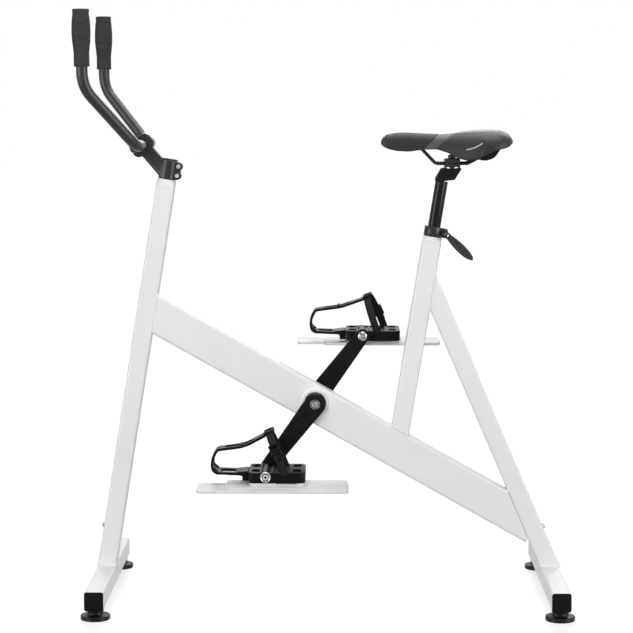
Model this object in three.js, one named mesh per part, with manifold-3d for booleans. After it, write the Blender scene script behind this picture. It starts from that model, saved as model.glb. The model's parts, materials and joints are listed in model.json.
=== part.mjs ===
// An aqua bike: a welded square-tube frame with a pedal drive, a saddle on a sliding post
// and a pair of upright grips, for pedalling in a pool.
//
// Millimetres. X runs from the crank axle back to the saddle, Y from the rider's left to
// the right, Z up from the floor. At the end the bike is moved along X so that the origin
// lies under the middle of its box.

import * as THREE from 'three';
import { mergeVertices } from 'three/addons/utils/BufferGeometryUtils.js';
import Module from 'manifold-3d';

const wasm = await Module();
wasm.setup();

// Driving dimensions

const weldGap = 0.3;      // between pieces that are welded, glued or clamped together
const slideGap = 0.35;    // round a piece that slides or turns
const overrun = 5;        // how far a cutter runs past what it cuts

const frame = {
  tube: 40, wall: 2, corner: 5, mastAngle: 9.15, legTop: 274.8, axleHeight: 424,
  frontBarReach: 454.5, rearBarReach: 510.5, postHeight: 886, seatTubeReach: 194.5, seatTubeHeight: 770,
};
const beam = { height: 80, corner: 6, dropAngle: 29.4, belowAxle: 4, toe: 13 };
const bar = { length: 536, underside: 23, capPlate: 2, capPlug: 14 };
const foot = { inset: 30, diameter: 62, disc: 10, rim: 2, neck: 37, waist: 34, stud: 10, studLength: 24 };
const neck = { diameter: 37, plug: 45 };
const frameBolt = { height: 85, head: 13, dome: 4.5, shank: 6, length: 9 };

const shell = { diameter: 56, wall: 5, length: 72 };
const bush = { flange: 3.5, flangeDiameter: 52, length: 20 };
const axle = { diameter: 20, square: 14 };
const crank = {
  length: 170, angle: 37, gap: 2.5, thickness: 18, hub: 47, tip: 30, bevel: 2, panel: 1.5,
  boltSeat: 25, boltSeatDepth: 6, boltHead: 20, boltHeadHeight: 5, boltShank: 8, boltLength: 18,
};
const pedalAxle = { shank: 12, head: 21, headHeight: 4, collar: 18, endHead: 22, endHeight: 5, endShank: 6, endLength: 12 };
const pedal = {
  gap: 6, width: 114, front: 36, rear: 83, above: 9, below: 13, corner: 16, bevel: 1.5,
  window: 18, deckFront: 13, deckRear: 50, deckRim: 8, deckDepth: 2.2,
};
const board = {
  front: 143.5, rear: 174, width: 120, outward: 42, thickness: 5.5, corner: 14, padFront: 86, padRear: 97,
  padHeight: 8.6, padMargin: 4, padSlope: 8, wall: 2.5,
};
const cage = {
  bracket: 14, bottomWidth: 60, topWidth: 38, strip: 6, floor: 1, heel: 99, nose: 113, noseHeight: 19,
  shoulder: 101, shoulderHeight: 48.5, arch: 45, archHeight: 59.5, tip: 3, tipHeight: 76, window: 22,
  guideLength: 22, guideHeight: 7.5, guideWidth: 44,
};
const strap = { leanAngle: 25.4, foot: 42, width: 16, thickness: 2.2, height: 85, side: 1.2, knee: 32, shoulder: 58, top: 16 };
const buckle = { alongLeg: 24, width: 22, depth: 8, height: 62, outward: 3 };

const stem = {
  steerer: 28.6, clamp: 38, height: 41, reach: 82, riseAngle: 40.3, armStart: 10, armHeight: 31, armWidth: 32,
  armCorner: 9, lobe: 9, lobeReach: 21, lobeStart: 10, lobeSpread: 20, lobeWidth: 24, slit: 2.5,
  barWidth: 42, barHeight: 52, barDepth: 36, barCorner: 13, split: 1.5, capHeight: 2.5,
  boltShank: 5.5, boltHead: 9, boltHeadHeight: 5, capBoltReach: 20,
};
const handlebar = {
  diameter: 24, wall: 2.2, halfCentre: 130, elbowRadius: 55, shoulderBack: 103.5, shoulderSpread: 200,
  shoulderRise: 124, shoulderRadius: 75, gripBack: 104.5, gripSpread: 204, gripRise: 277,
};
const grip = { length: 117, cap: 4, flange: 33.6, rim: 4, foot: 31.5, belly: 39 };

const collar = { height: 21, wall: 3.6, sleeve: 32.4, lugReach: 31, lugWidth: 15, slit: 2.5, skewerReach: 26 };
const skewer = { diameter: 5, nut: 13, nutHeight: 6 };
const lever = { cam: 15, cheek: 3.2, slot: 6, slopeAngle: 44, length: 81, neck: 12, width: 19, thickness: 6 };
const seatPost = {
  diameter: 27.2, wall: 2.6, insertion: 200, showing: 136.5, headWidth: 30, headFront: 15.6, headBase: 2,
  headTopFront: 1.6, headTopRear: 40.6, headTop: 24, headBaseRear: 25.8, setback: 20.6,
};
const clamp = {
  railHeight: 33.5, tiltRadius: 60, dish: 2, tiltAngle: 8, length: 33, spread: 58, top: 10.5, arch: 5, bolt: 6.2,
  boltBelow: 10, nut: 16, nutHeight: 6.5,
};
const rails = {
  diameter: 7, spread: 22, levelFront: 35.5, levelRear: 32, noseReach: 71, noseRise: 37, noseSpread: 10,
  noseEnd: 84, tailReach: 78, tailRise: 24, tailSpread: 27, bend: 12,
};
const saddle = {
  noseReach: 151.9, length: 279.3, width: 156, aboveRails: 7.3, height: 65.7, padShare: 0.4, skin: 4, base: 3.5,
  housingFront: 57, housingRear: 97, housingDrop: 6, housingWidth: 74, noseBlock: 26,
};

// Numbers of sides and steps
const cornerSteps = 2;      // a quarter turn has twice as many sides
const roundSides = 18;
const smallSides = 8;

// Materials
const finish = (color, roughness, metalness = 0) => new THREE.MeshStandardMaterial({ color, roughness, metalness });
const whitePaint = finish(0xe9eaec, 0.38);
const whitePlastic = finish(0xe4e6e8, 0.45);
const blackMetal = finish(0x161617, 0.35, 0.6);
const blackPlastic = finish(0x1b1b1c, 0.5);
const greyPlastic = finish(0x3a3b3d, 0.5);
const gripRubber = finish(0x343537, 0.85);
const footRubber = finish(0x151515, 0.8);
const steel = finish(0xc4c6c9, 0.25, 1);
const webbing = finish(0x1c1c1d, 0.8);
const saddleSkin = finish(0x2b2b2d, 0.55);

// Places, turns and directions

const quarterTurn = Math.PI / 2;
const radians = THREE.MathUtils.degToRad;
const shift = (x, y, z) => new THREE.Matrix4().makeTranslation(x, y, z);
const turnX = (angle) => new THREE.Matrix4().makeRotationX(angle);
const turnY = (degrees) => new THREE.Matrix4().makeRotationY(radians(degrees));
const chain = (...matrices) => matrices.reduce((all, next) => all.multiply(next), new THREE.Matrix4());
const point2 = (x, y) => new THREE.Vector2(x, y);
const point3 = (x, y, z) => new THREE.Vector3(x, y, z);
// A direction in the X-Z plane that leans back from upright, in degrees
const leaning = (degrees) => point2(Math.sin(radians(degrees)), Math.cos(radians(degrees)));
const onLine = (start, direction, distance) => start.clone().addScaledVector(direction, distance);
// Where two lines of the X-Z plane meet, as a distance along the first
function meeting(start, direction, otherStart, otherDirection) {
  return otherStart.clone().sub(start).cross(otherDirection) / direction.cross(otherDirection);
}

// Solids: every piece is closed, and is joined and cut where it needs to be

function solid(geometry, ...moves) {
  const bare = geometry.clone();
  bare.deleteAttribute('normal');
  bare.deleteAttribute('uv');
  moves.forEach((move) => bare.applyMatrix4(move));
  const merged = mergeVertices(bare);
  const corners = merged.index.array;
  const triangles = [];
  for (let at = 0; at < corners.length; at += 3) {
    const [a, b, c] = [corners[at], corners[at + 1], corners[at + 2]];
    if (a !== b && b !== c && c !== a) triangles.push(a, b, c);
  }
  const mesh = new wasm.Mesh({
    numProp: 3,
    vertProperties: merged.attributes.position.array,
    triVerts: new Uint32Array(triangles),
  });
  return new wasm.Manifold(mesh);
}

function piece(name, material, body, place = new THREE.Matrix4()) {
  const { vertProperties, triVerts } = body.getMesh();
  const geometry = new THREE.BufferGeometry();
  geometry.setAttribute('position', new THREE.BufferAttribute(vertProperties, 3));
  geometry.setIndex(new THREE.BufferAttribute(triVerts, 1));
  geometry.computeVertexNormals();
  const mesh = new THREE.Mesh(geometry, material);
  mesh.name = name;
  mesh.applyMatrix4(place);
  return mesh;
}

function group(place, ...members) {
  const holder = new THREE.Group();
  holder.applyMatrix4(place);
  holder.add(...members);
  return holder;
}

// Outlines

function circle(diameter, kind = THREE.Shape) {
  const outline = new kind();
  outline.absarc(0, 0, diameter / 2, 0, 2 * Math.PI);
  return outline;
}

function roundedRectangle(width, height, corner, kind = THREE.Shape) {
  const x = width / 2 - corner;
  const y = height / 2 - corner;
  const outline = new kind();
  outline.absarc(x, y, corner, 0, quarterTurn);
  outline.absarc(-x, y, corner, quarterTurn, 2 * quarterTurn);
  outline.absarc(-x, -y, corner, 2 * quarterTurn, 3 * quarterTurn);
  outline.absarc(x, -y, corner, 3 * quarterTurn, 4 * quarterTurn);
  return outline;
}

// Two circles joined by their outer tangents: the big one at the origin, the small one below
function taperedOutline(bigDiameter, smallDiameter, length) {
  const lift = Math.asin((bigDiameter - smallDiameter) / 2 / length);
  const outline = new THREE.Shape();
  outline.absarc(0, 0, bigDiameter / 2, -lift, Math.PI + lift);
  outline.absarc(0, -length, smallDiameter / 2, Math.PI + lift, 2 * Math.PI - lift);
  return outline;
}

// The two sides of a strip of even thickness along a flat curve
function ribbonSides(curve, thickness, steps) {
  return [-1, 1].map((sign) => Array.from({ length: steps + 1 }, (_, step) => {
    const { x, y } = curve.getTangent(step / steps);
    return curve.getPoint(step / steps).addScaledVector(point2(-y, x), sign * thickness / 2);
  }));
}

// Forms: prisms centred on z = 0, rods and tubes that run up from z = 0

function prism(outline, depth, bevel = 0, curveSegments = cornerSteps) {
  const geometry = new THREE.ExtrudeGeometry(outline, {
    depth: depth - 2 * bevel, bevelEnabled: bevel > 0, bevelThickness: bevel, bevelSize: bevel,
    bevelOffset: -bevel, bevelSegments: 1, curveSegments,
  });
  return geometry.translate(0, 0, bevel - depth / 2);
}

// A prism turned so that its outline stands upright and it lies across the bike
const across = (geometry) => geometry.rotateX(quarterTurn);

const block = (x, y, z) => new THREE.BoxGeometry(x, y, z);

// A block between two corners
function blockBetween(x0, x1, y0, y1, z0, z1) {
  return block(x1 - x0, y1 - y0, z1 - z0).translate((x0 + x1) / 2, (y0 + y1) / 2, (z0 + z1) / 2);
}

function rod(diameter, length, sides = roundSides) {
  const geometry = new THREE.CylinderGeometry(diameter / 2, diameter / 2, length, sides);
  return geometry.rotateX(quarterTurn).translate(0, 0, length / 2);
}

// A rod across the bike, between two places on Y
function crossRod(diameter, fromY, toY, sides = roundSides) {
  const geometry = new THREE.CylinderGeometry(diameter / 2, diameter / 2, Math.abs(toY - fromY), sides);
  return geometry.translate(0, (fromY + toY) / 2, 0);
}

// A turned piece: its profile holds [radius, height] pairs, from the bottom up
function turned(profile, sides = roundSides) {
  const points = profile.map(([radius, height]) => point2(radius, height));
  return new THREE.LatheGeometry(points, sides).rotateX(quarterTurn);
}

function hollowTube(width, height, wall, corner, length) {
  const outline = roundedRectangle(width, height, corner);
  const innerCorner = corner * (1 - 2 * wall / width);
  outline.holes.push(roundedRectangle(width - 2 * wall, height - 2 * wall, innerCorner, THREE.Path));
  return new THREE.ExtrudeGeometry(outline, { depth: length, bevelEnabled: false, curveSegments: cornerSteps });
}

const sweep = (outline, extrudePath, steps, curveSegments) => new THREE.ExtrudeGeometry(outline, {
  steps, extrudePath, curveSegments, bevelEnabled: false,
});

// A line of corners, joined by straight runs and round bends
function bentPath(corners, radii) {
  const path = new THREE.CurvePath();
  let from = corners[0];
  corners.slice(1, -1).forEach((corner, index) => {
    const before = corners[index].clone().sub(corner).normalize();
    const after = corners[index + 2].clone().sub(corner).normalize();
    const run = radii[index] / Math.tan(before.angleTo(after) / 2);
    const start = corner.clone().addScaledVector(before, run);
    const end = corner.clone().addScaledVector(after, run);
    path.add(new THREE.LineCurve3(from, start));
    path.add(new THREE.QuadraticBezierCurve3(start, corner, end));
    from = end;
  });
  path.add(new THREE.LineCurve3(from, corners.at(-1)));
  return path;
}

// Frame members: where their centre lines run in the X-Z plane

const halfTube = frame.tube / 2;
const reachOfAll = 2 * (frame.frontBarReach + frame.rearBarReach);
const barTop = bar.underside + frame.tube;
const mast = leaning(frame.mastAngle);
const beamAngle = 90 + beam.dropAngle;
const beamRun = leaning(beamAngle);
const postFoot = point2(-frame.frontBarReach, barTop);
const legFoot = point2(frame.rearBarReach, barTop);
const beamMiddle = point2(-beamRun.y, beamRun.x).multiplyScalar(-beam.belowAxle).add(point2(0, frame.axleHeight));
const seatLine = point2(frame.seatTubeReach, frame.axleHeight);
const legTop = onLine(seatLine, mast, frame.legTop);
const leg = legTop.clone().sub(legFoot).normalize();
const legAngle = THREE.MathUtils.radToDeg(Math.atan2(leg.x, leg.y));
const beamStart = onLine(beamMiddle, beamRun, meeting(beamMiddle, beamRun, postFoot, mast));
const seatFoot = onLine(seatLine, mast, meeting(seatLine, mast, beamMiddle, beamRun));
const axleAlongBeam = beamMiddle.distanceTo(beamStart);
const postLength = (frame.postHeight - barTop) / mast.y;
const seatTubeLength = (frame.seatTubeHeight - seatFoot.y) / mast.y;
const legLength = legFoot.distanceTo(legTop);

// A member's own frame: z along it, y across the bike, x square to both and facing back or down
const memberPlace = (start, lean) => chain(shift(start.x, 0, start.y), turnY(lean));
const postPlace = memberPlace(postFoot, frame.mastAngle);
const seatTubePlace = memberPlace(seatFoot, frame.mastAngle);
const legPlace = memberPlace(legFoot, legAngle);
const beamPlace = memberPlace(beamStart, beamAngle);
const topOf = (place, length) => chain(place, shift(0, 0, length));

// All of a member's space to one side of a face of it, the weld gap included
function spaceFrom(place, face, direction) {
  return block(reachOfAll, reachOfAll, reachOfAll)
    .translate(face + direction * (reachOfAll / 2 - weldGap), 0, 0).applyMatrix4(place);
}
const spaceBelow = (height) => (
  block(reachOfAll, reachOfAll, reachOfAll).translate(0, 0, height + weldGap - reachOfAll / 2)
);

// A tube in its own frame, cut back from what it is welded to
function member(width, corner, fromZ, toZ, place, ...cutters) {
  const home = place.clone().invert();
  const tube = hollowTube(width, frame.tube, frame.wall, corner, toZ - fromZ);
  return cutters.reduce((body, cutter) => body.subtract(solid(cutter, home)), solid(tube, shift(0, 0, fromZ)));
}

function buildFrame() {
  const post = member(frame.tube, frame.corner, -halfTube, postLength, postPlace, spaceBelow(barTop));
  const boltHole = rod(frameBolt.shank + 2 * slideGap, frame.wall + 2 * overrun, smallSides);
  const postBolted = post.subtract(solid(boltHole, turnY(-90), shift(overrun - halfTube, 0, frameBolt.height)));

  // The beam's underside meets the leg's front face here, and its end is cut square short of it
  const underside = onLine(beamStart, point2(beamRun.y, -beamRun.x), beam.height / 2);
  const legFront = onLine(legFoot, point2(leg.y, -leg.x), -halfTube);
  const beamEnd = meeting(underside, beamRun, legFront, leg) - beam.toe;
  const shellHole = crossRod(shell.diameter + 2 * weldGap, -halfTube - overrun, halfTube + overrun, 2 * roundSides);
  const mainBeam = member(beam.height, beam.corner, 0, beamEnd, beamPlace,
    spaceFrom(postPlace, halfTube, -1), spaceFrom(legPlace, -halfTube, 1))
    .subtract(solid(shellHole, shift(-beam.belowAxle, 0, axleAlongBeam)));

  const seatTube = member(frame.tube, frame.corner, 0, seatTubeLength, seatTubePlace,
    spaceFrom(beamPlace, -beam.height / 2, 1));
  const rearLeg = member(frame.tube, frame.corner, -halfTube, legLength, legPlace,
    spaceBelow(barTop), spaceFrom(seatTubePlace, halfTube, -1))
    .subtract(solid(boltHole, turnY(90), shift(halfTube - overrun, 0, frameBolt.height)));

  const domeProfile = [
    [0, -frameBolt.length], [frameBolt.shank / 2, -frameBolt.length], [frameBolt.shank / 2, 0], [frameBolt.head / 2, 0],
    [frameBolt.head / 2, frameBolt.dome / 3], [frameBolt.head / 3, frameBolt.dome], [0, frameBolt.dome],
  ];
  const onFace = halfTube + weldGap;
  const dome = solid(turned(domeProfile, smallSides));
  return [
    piece('front_post', whitePaint, postBolted, postPlace),
    piece('main_beam', whitePaint, mainBeam, beamPlace),
    piece('seat_tube', whitePaint, seatTube, seatTubePlace),
    piece('rear_leg', whitePaint, rearLeg, legPlace),
    piece('post_bolt', steel, dome, chain(postPlace, shift(-onFace, 0, frameBolt.height), turnY(-90))),
    piece('leg_bolt', steel, dome, chain(legPlace, shift(onFace, 0, frameBolt.height), turnY(90))),
  ];
}

// A square tube's round neck: square at its foot, round at its top, with a plug down the tube
function squareToRound(height) {
  const corners = frame.tube * Math.SQRT2 - 2 * frame.corner * (Math.SQRT2 - 1);
  const cone = turned([[0, 0], [corners / 2, 0], [neck.diameter / 2, height], [0, height]]);
  const square = new THREE.ExtrudeGeometry(roundedRectangle(frame.tube, frame.tube, frame.corner), {
    depth: height, bevelEnabled: false, curveSegments: cornerSteps,
  });
  const plugSize = frame.tube - 2 * frame.wall - 2 * weldGap;
  const plugCorner = frame.corner * plugSize / frame.tube;
  const plug = prism(roundedRectangle(plugSize, plugSize, plugCorner), neck.plug)
    .translate(0, 0, weldGap - neck.plug / 2);
  return solid(square, shift(0, 0, weldGap)).intersect(solid(cone, shift(0, 0, weldGap))).add(solid(plug));
}

const headNeck = frame.tube * 0.45;
const seatNeck = frame.tube * 0.275;
const stemPlace = topOf(postPlace, postLength + headNeck + 2 * weldGap);
const seatTop = topOf(seatTubePlace, seatTubeLength);

function buildHead() {
  const steererLength = stem.height - stem.capHeight;
  const steererRod = rod(stem.steerer, steererLength).translate(0, 0, headNeck + weldGap);
  const head = squareToRound(headNeck).add(solid(steererRod));
  return [piece('post_head', whitePaint, head, topOf(postPlace, postLength))];
}

// The base: two cross bars, each with two end caps and two feet

function buildBase(end, reach) {
  const sides = { left: -1, right: 1 };
  const place = shift(reach, 0, bar.underside + halfTube);
  const footY = bar.length / 2 + bar.capPlate - foot.inset;
  const studHole = rod(foot.stud + 2 * slideGap, frame.wall + 2 * overrun);
  const tube = hollowTube(frame.tube, frame.tube, frame.wall, frame.corner, bar.length);
  let body = solid(tube, shift(0, 0, -bar.length / 2), turnX(quarterTurn));
  Object.values(sides).forEach((side) => {
    body = body.subtract(solid(studHole, shift(0, side * footY, -halfTube - overrun)));
  });

  const inside = frame.tube - 2 * frame.wall - 2 * weldGap;
  const plate = prism(roundedRectangle(frame.tube, frame.tube, frame.corner), bar.capPlate);
  const plug = prism(roundedRectangle(inside, inside, frame.corner * inside / frame.tube), bar.capPlug);
  const cap = solid(plate, shift(0, 0, bar.capPlate / 2 + weldGap))
    .add(solid(plug, shift(0, 0, weldGap - bar.capPlug / 2)));

  const neckTop = bar.underside - weldGap;
  const footProfile = [
    [0, 0], [foot.diameter / 2 - foot.rim, 0], [foot.diameter / 2, foot.rim],
    [foot.diameter / 2, foot.disc - foot.rim], [foot.diameter / 2 - foot.rim, foot.disc],
    [foot.neck / 2, foot.disc], [foot.waist / 2, (foot.disc + neckTop) / 2], [foot.neck / 2, neckTop],
    [foot.stud / 2, neckTop], [foot.stud / 2, neckTop + foot.studLength], [0, neckTop + foot.studLength],
  ];
  const footBody = solid(turned(footProfile));
  const members = Object.entries(sides).flatMap(([name, side]) => [
    piece(`${end}_${name}_cap`, blackPlastic, cap, chain(place, shift(0, side * bar.length / 2, 0), turnX(-side * quarterTurn))),
    piece(`${end}_${name}_foot`, footRubber, footBody, shift(reach, side * footY, 0)),
  ]);
  return [piece(`${end}_bar`, whitePaint, body, place), ...members];
}

// The drive: shell, bushes, axle, cranks and pedal axles

const crankInner = shell.length / 2 + bush.flange + weldGap + crank.gap;
const crankOuter = crankInner + crank.thickness;
const pedalInner = crankOuter + pedal.gap;
const pedalOuter = pedalInner + pedal.width;
const crankPlace = (side) => chain(shift(0, 0, frame.axleHeight), turnY(crank.angle + (side > 0 ? 180 : 0)));

function buildBearings() {
  const shellInside = shell.diameter - 2 * shell.wall;
  const place = shift(0, 0, frame.axleHeight);
  const shellBody = solid(crossRod(shell.diameter, -shell.length / 2, shell.length / 2, 2 * roundSides))
    .subtract(solid(crossRod(shellInside, -shell.length, shell.length)));
  const bore = solid(crossRod(axle.diameter + 2 * slideGap, -shell.length, shell.length));
  const bushBody = (side) => {
    const face = side * (shell.length / 2 + weldGap);
    return solid(crossRod(shellInside - 2 * weldGap, face - side * bush.length, face))
      .add(solid(crossRod(bush.flangeDiameter, face, face + side * bush.flange))).subtract(bore);
  };
  return [
    piece('bottom_bracket_shell', whitePaint, shellBody, place),
    piece('left_bush', blackPlastic, bushBody(-1), place),
    piece('right_bush', blackPlastic, bushBody(1), place),
  ];
}

function buildAxle() {
  const shoulder = crankInner - weldGap;
  const end = crankOuter - crank.boltSeatDepth - 2 * weldGap;
  let body = solid(crossRod(axle.diameter, -shoulder, shoulder)).add(solid(block(axle.square, 2 * end, axle.square)));
  [-1, 1].forEach((side) => {
    const hole = crossRod(crank.boltShank + 2 * weldGap, side * (end - crank.boltLength), side * (end + overrun), smallSides);
    body = body.subtract(solid(hole));
  });
  return piece('crank_axle', steel, body, crankPlace(-1));
}

function buildCrank(name, side) {
  const middle = side * (crankInner + crankOuter) / 2;
  const outer = side * crankOuter;
  const arm = across(prism(taperedOutline(crank.hub, crank.tip, crank.length), crank.thickness, crank.bevel, 5));
  const panelOutline = taperedOutline(crank.hub * 0.6, crank.tip * 0.62, crank.length * 0.6);
  const panel = across(prism(panelOutline, 2 * crank.panel, 0, 3));
  const squareHole = axle.square + 2 * weldGap;
  const tipHole = crossRod(pedalAxle.shank + 2 * weldGap, middle - crank.thickness, middle + crank.thickness);
  const arms = solid(arm, shift(0, middle, 0))
    .subtract(solid(block(squareHole, 2 * crankOuter + overrun, squareHole)))
    .subtract(solid(crossRod(crank.boltSeat, outer - side * crank.boltSeatDepth, outer + side * overrun)))
    .subtract(solid(panel, shift(0, outer, -crank.length * 0.27)))
    .subtract(solid(tipHole, shift(0, 0, -crank.length)));

  const headBase = outer - side * (crank.boltSeatDepth - weldGap);
  const socket = crossRod(crank.boltHead / 2, headBase + side * crank.boltHeadHeight / 2, outer, 6);
  const bolt = solid(crossRod(crank.boltHead, headBase, headBase + side * crank.boltHeadHeight))
    .add(solid(crossRod(crank.boltShank, headBase - side * crank.boltLength, headBase, smallSides)))
    .subtract(solid(socket));

  // The pedal axle: its head bears on the crank's inner face, its collar on the outer one
  const headFace = side * (crankInner - weldGap);
  const pedalEnd = side * (pedalOuter + slideGap);
  const headSocket = crossRod(pedalAxle.head / 2, headFace - side * (pedalAxle.headHeight + overrun),
    headFace - side * pedalAxle.headHeight / 2, 6);
  const endHole = crossRod(pedalAxle.endShank + 2 * weldGap, pedalEnd - side * pedalAxle.endLength, pedalEnd + side * overrun, smallSides);
  const shaft = solid(crossRod(pedalAxle.shank, headFace - side * pedalAxle.headHeight / 2, pedalEnd))
    .add(solid(crossRod(pedalAxle.head, headFace - side * pedalAxle.headHeight, headFace)))
    .add(solid(crossRod(pedalAxle.collar, outer + side * weldGap, side * (pedalInner - slideGap))))
    .subtract(solid(headSocket)).subtract(solid(endHole));
  const endBase = pedalEnd + side * weldGap;
  const endSocket = crossRod(pedalAxle.endHead * 0.4, endBase + side * pedalAxle.endHeight / 2,
    endBase + side * (pedalAxle.endHeight + overrun), 6);
  const endBolt = solid(crossRod(pedalAxle.endHead, endBase, endBase + side * pedalAxle.endHeight))
    .add(solid(crossRod(pedalAxle.endShank, endBase - side * (pedalAxle.endLength - weldGap), endBase, smallSides)))
    .subtract(solid(endSocket));
  const pedalPlace = chain(crankPlace(side), shift(0, 0, -crank.length));
  return [
    piece(`${name}_crank`, blackMetal, arms, crankPlace(side)),
    piece(`${name}_crank_bolt`, steel, bolt, crankPlace(side)),
    piece(`${name}_pedal_axle`, steel, shaft, pedalPlace),
    piece(`${name}_axle_end_bolt`, steel, endBolt, pedalPlace),
  ];
}

// Pedals: body, toe cage, strap with its buckle, and the paddle board below

// Narrows a form from its foot at z = 0 to its top
function tapered(geometry, height, shareX, shareY) {
  const places = geometry.attributes.position;
  for (let at = 0; at < places.count; at += 1) {
    const up = places.getZ(at) / height;
    places.setXY(at, places.getX(at) * (1 - up * (1 - shareX)), places.getY(at) * (1 - up * (1 - shareY)));
  }
  return geometry;
}

// The strap's loop, seen along the bike: [across, up], from the middle of its bottom run
function strapLoop() {
  const side = pedal.width / 2 + strap.side + strap.thickness / 2;
  const half = [
    [0, 0], [side * 0.5, 0], [side * 0.86, 0], [side * 0.985, strap.height * 0.05], [side, strap.height * 0.16],
    [side, strap.knee], [side * 0.78, strap.shoulder], [side * 0.5, strap.height * 0.9],
    [strap.top, strap.height * 0.99], [0, strap.height],
  ];
  const rightHalf = half.map(([y, z]) => point2(y, z));
  const leftHalf = half.slice(1, -1).reverse().map(([y, z]) => point2(-y, z));
  return new THREE.SplineCurve([...rightHalf, ...leftHalf, rightHalf[0]]);
}

function strapBody(clearance) {
  const [outer, inner] = ribbonSides(strapLoop(), strap.thickness + 2 * clearance, 36);
  const outline = new THREE.Shape(outer.slice(1));
  outline.holes.push(new THREE.Path(inner.slice(1)));
  return solid(prism(outline, strap.width + 2 * clearance), turnX(quarterTurn), new THREE.Matrix4().makeRotationZ(quarterTurn));
}

function cageBody(strapPlace) {
  const curve = new THREE.SplineCurve([
    point2(-pedal.front - cage.bracket / 2, cage.floor), point2(-(pedal.front + cage.heel) / 2, cage.floor),
    point2(-cage.heel, cage.floor), point2(-cage.nose, cage.noseHeight),
    point2(-(cage.nose + cage.shoulder) / 2, (cage.noseHeight + cage.shoulderHeight) / 2),
    point2(-cage.shoulder, cage.shoulderHeight), point2(-cage.arch, cage.archHeight), point2(-cage.tip, cage.tipHeight),
  ]);
  const [lower, upper] = ribbonSides(curve, cage.strip, 30);
  const strip = solid(across(prism(new THREE.Shape([...lower, ...upper.reverse()]), cage.bottomWidth)));
  // Seen along the bike, the cage narrows from its floor to its shoulder
  const halfBottom = cage.bottomWidth / 2;
  const halfTop = cage.topWidth / 2;
  const front = new THREE.Shape([
    point2(-halfBottom, -pedal.below), point2(halfBottom, -pedal.below), point2(halfBottom, cage.strip),
    point2(halfTop, cage.shoulderHeight), point2(halfTop, 2 * cage.tipHeight), point2(-halfTop, 2 * cage.tipHeight),
    point2(-halfTop, cage.shoulderHeight), point2(-halfBottom, cage.strip),
  ]);
  const envelope = solid(across(prism(front, 4 * cage.nose)), new THREE.Matrix4().makeRotationZ(quarterTurn));
  const noseWindow = blockBetween(-cage.nose - cage.strip, -cage.shoulder + cage.strip, -cage.window / 2, cage.window / 2,
    cage.noseHeight * 0.7, cage.shoulderHeight * 0.78);
  const archWindow = blockBetween(-cage.shoulder * 0.87, -cage.tip - cage.guideLength, -cage.window / 2, cage.window / 2,
    cage.noseHeight, 2 * cage.tipHeight);
  const bracket = blockBetween(-pedal.front - cage.bracket, -pedal.front - weldGap, -halfBottom, halfBottom,
    -pedal.below, cage.floor + cage.strip);
  const guide = block(cage.guideLength, cage.guideWidth, cage.guideHeight).translate(0, 0, strap.height);
  return strip.intersect(envelope).subtract(solid(noseWindow)).subtract(solid(archWindow)).add(solid(bracket))
    .add(solid(guide, strapPlace)).subtract(strapBody(weldGap).transform(strapPlace.elements));
}

function pedalBody(strapPlace) {
  const length = pedal.front + pedal.rear;
  const height = pedal.above + pedal.below;
  const deck = prism(roundedRectangle(length, pedal.width, pedal.corner), height, pedal.bevel)
    .translate((pedal.rear - pedal.front) / 2, 0, (pedal.above - pedal.below) / 2);
  const recess = blockBetween(-pedal.deckFront, pedal.deckRear, pedal.deckRim - pedal.width / 2,
    pedal.width / 2 - pedal.deckRim, pedal.above - pedal.deckDepth, pedal.above + overrun);
  const bore = crossRod(pedalAxle.shank + 2 * slideGap, -pedal.width, pedal.width);
  const windowX = [-(pedal.front + pedal.deckFront) / 2, (pedal.rear + pedal.deckRear) / 2];
  const holes = windowX.flatMap((x) => [-1, 1].map((side) => (
    rod(pedal.window, 2 * height, smallSides).translate(x, side * pedal.width / 4, -height)
  )));
  return holes.reduce((body, hole) => body.subtract(solid(hole)), solid(deck).subtract(solid(recess)))
    .subtract(solid(bore)).subtract(strapBody(weldGap).transform(strapPlace.elements));
}

function boardBody() {
  const length = board.front + board.rear;
  const middle = (board.rear - board.front) / 2;
  const top = -pedal.below - weldGap;
  const plateTop = top - board.padHeight;
  const padLength = board.padFront + board.padRear;
  const padMiddle = (board.padRear - board.padFront) / 2;
  const padWidth = board.width - 2 * board.padMargin;
  const padOutline = (inset) => prism(
    roundedRectangle(padLength - 2 * inset, padWidth - 2 * inset, board.corner), board.padHeight,
  ).translate(0, 0, board.padHeight / 2);
  const slopeX = 1 - 2 * board.padSlope / padLength;
  const slopeY = 1 - 2 * board.padSlope / padWidth;
  const plate = prism(roundedRectangle(length, board.width, board.corner), board.thickness, board.thickness / 4)
    .translate(middle, 0, plateTop - board.thickness / 2);
  const pad = tapered(padOutline(0), board.padHeight, slopeX, slopeY).translate(padMiddle, 0, plateTop);
  const hollow = tapered(padOutline(board.wall), board.padHeight, slopeX, slopeY)
    .translate(padMiddle, 0, plateTop - board.wall);
  const mouth = prism(roundedRectangle(padLength - 2 * board.wall, padWidth - 2 * board.wall, board.corner), board.thickness)
    .translate(padMiddle, 0, plateTop - board.wall - board.thickness / 2);
  return solid(plate).add(solid(pad)).subtract(solid(hollow)).subtract(solid(mouth));
}

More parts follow.
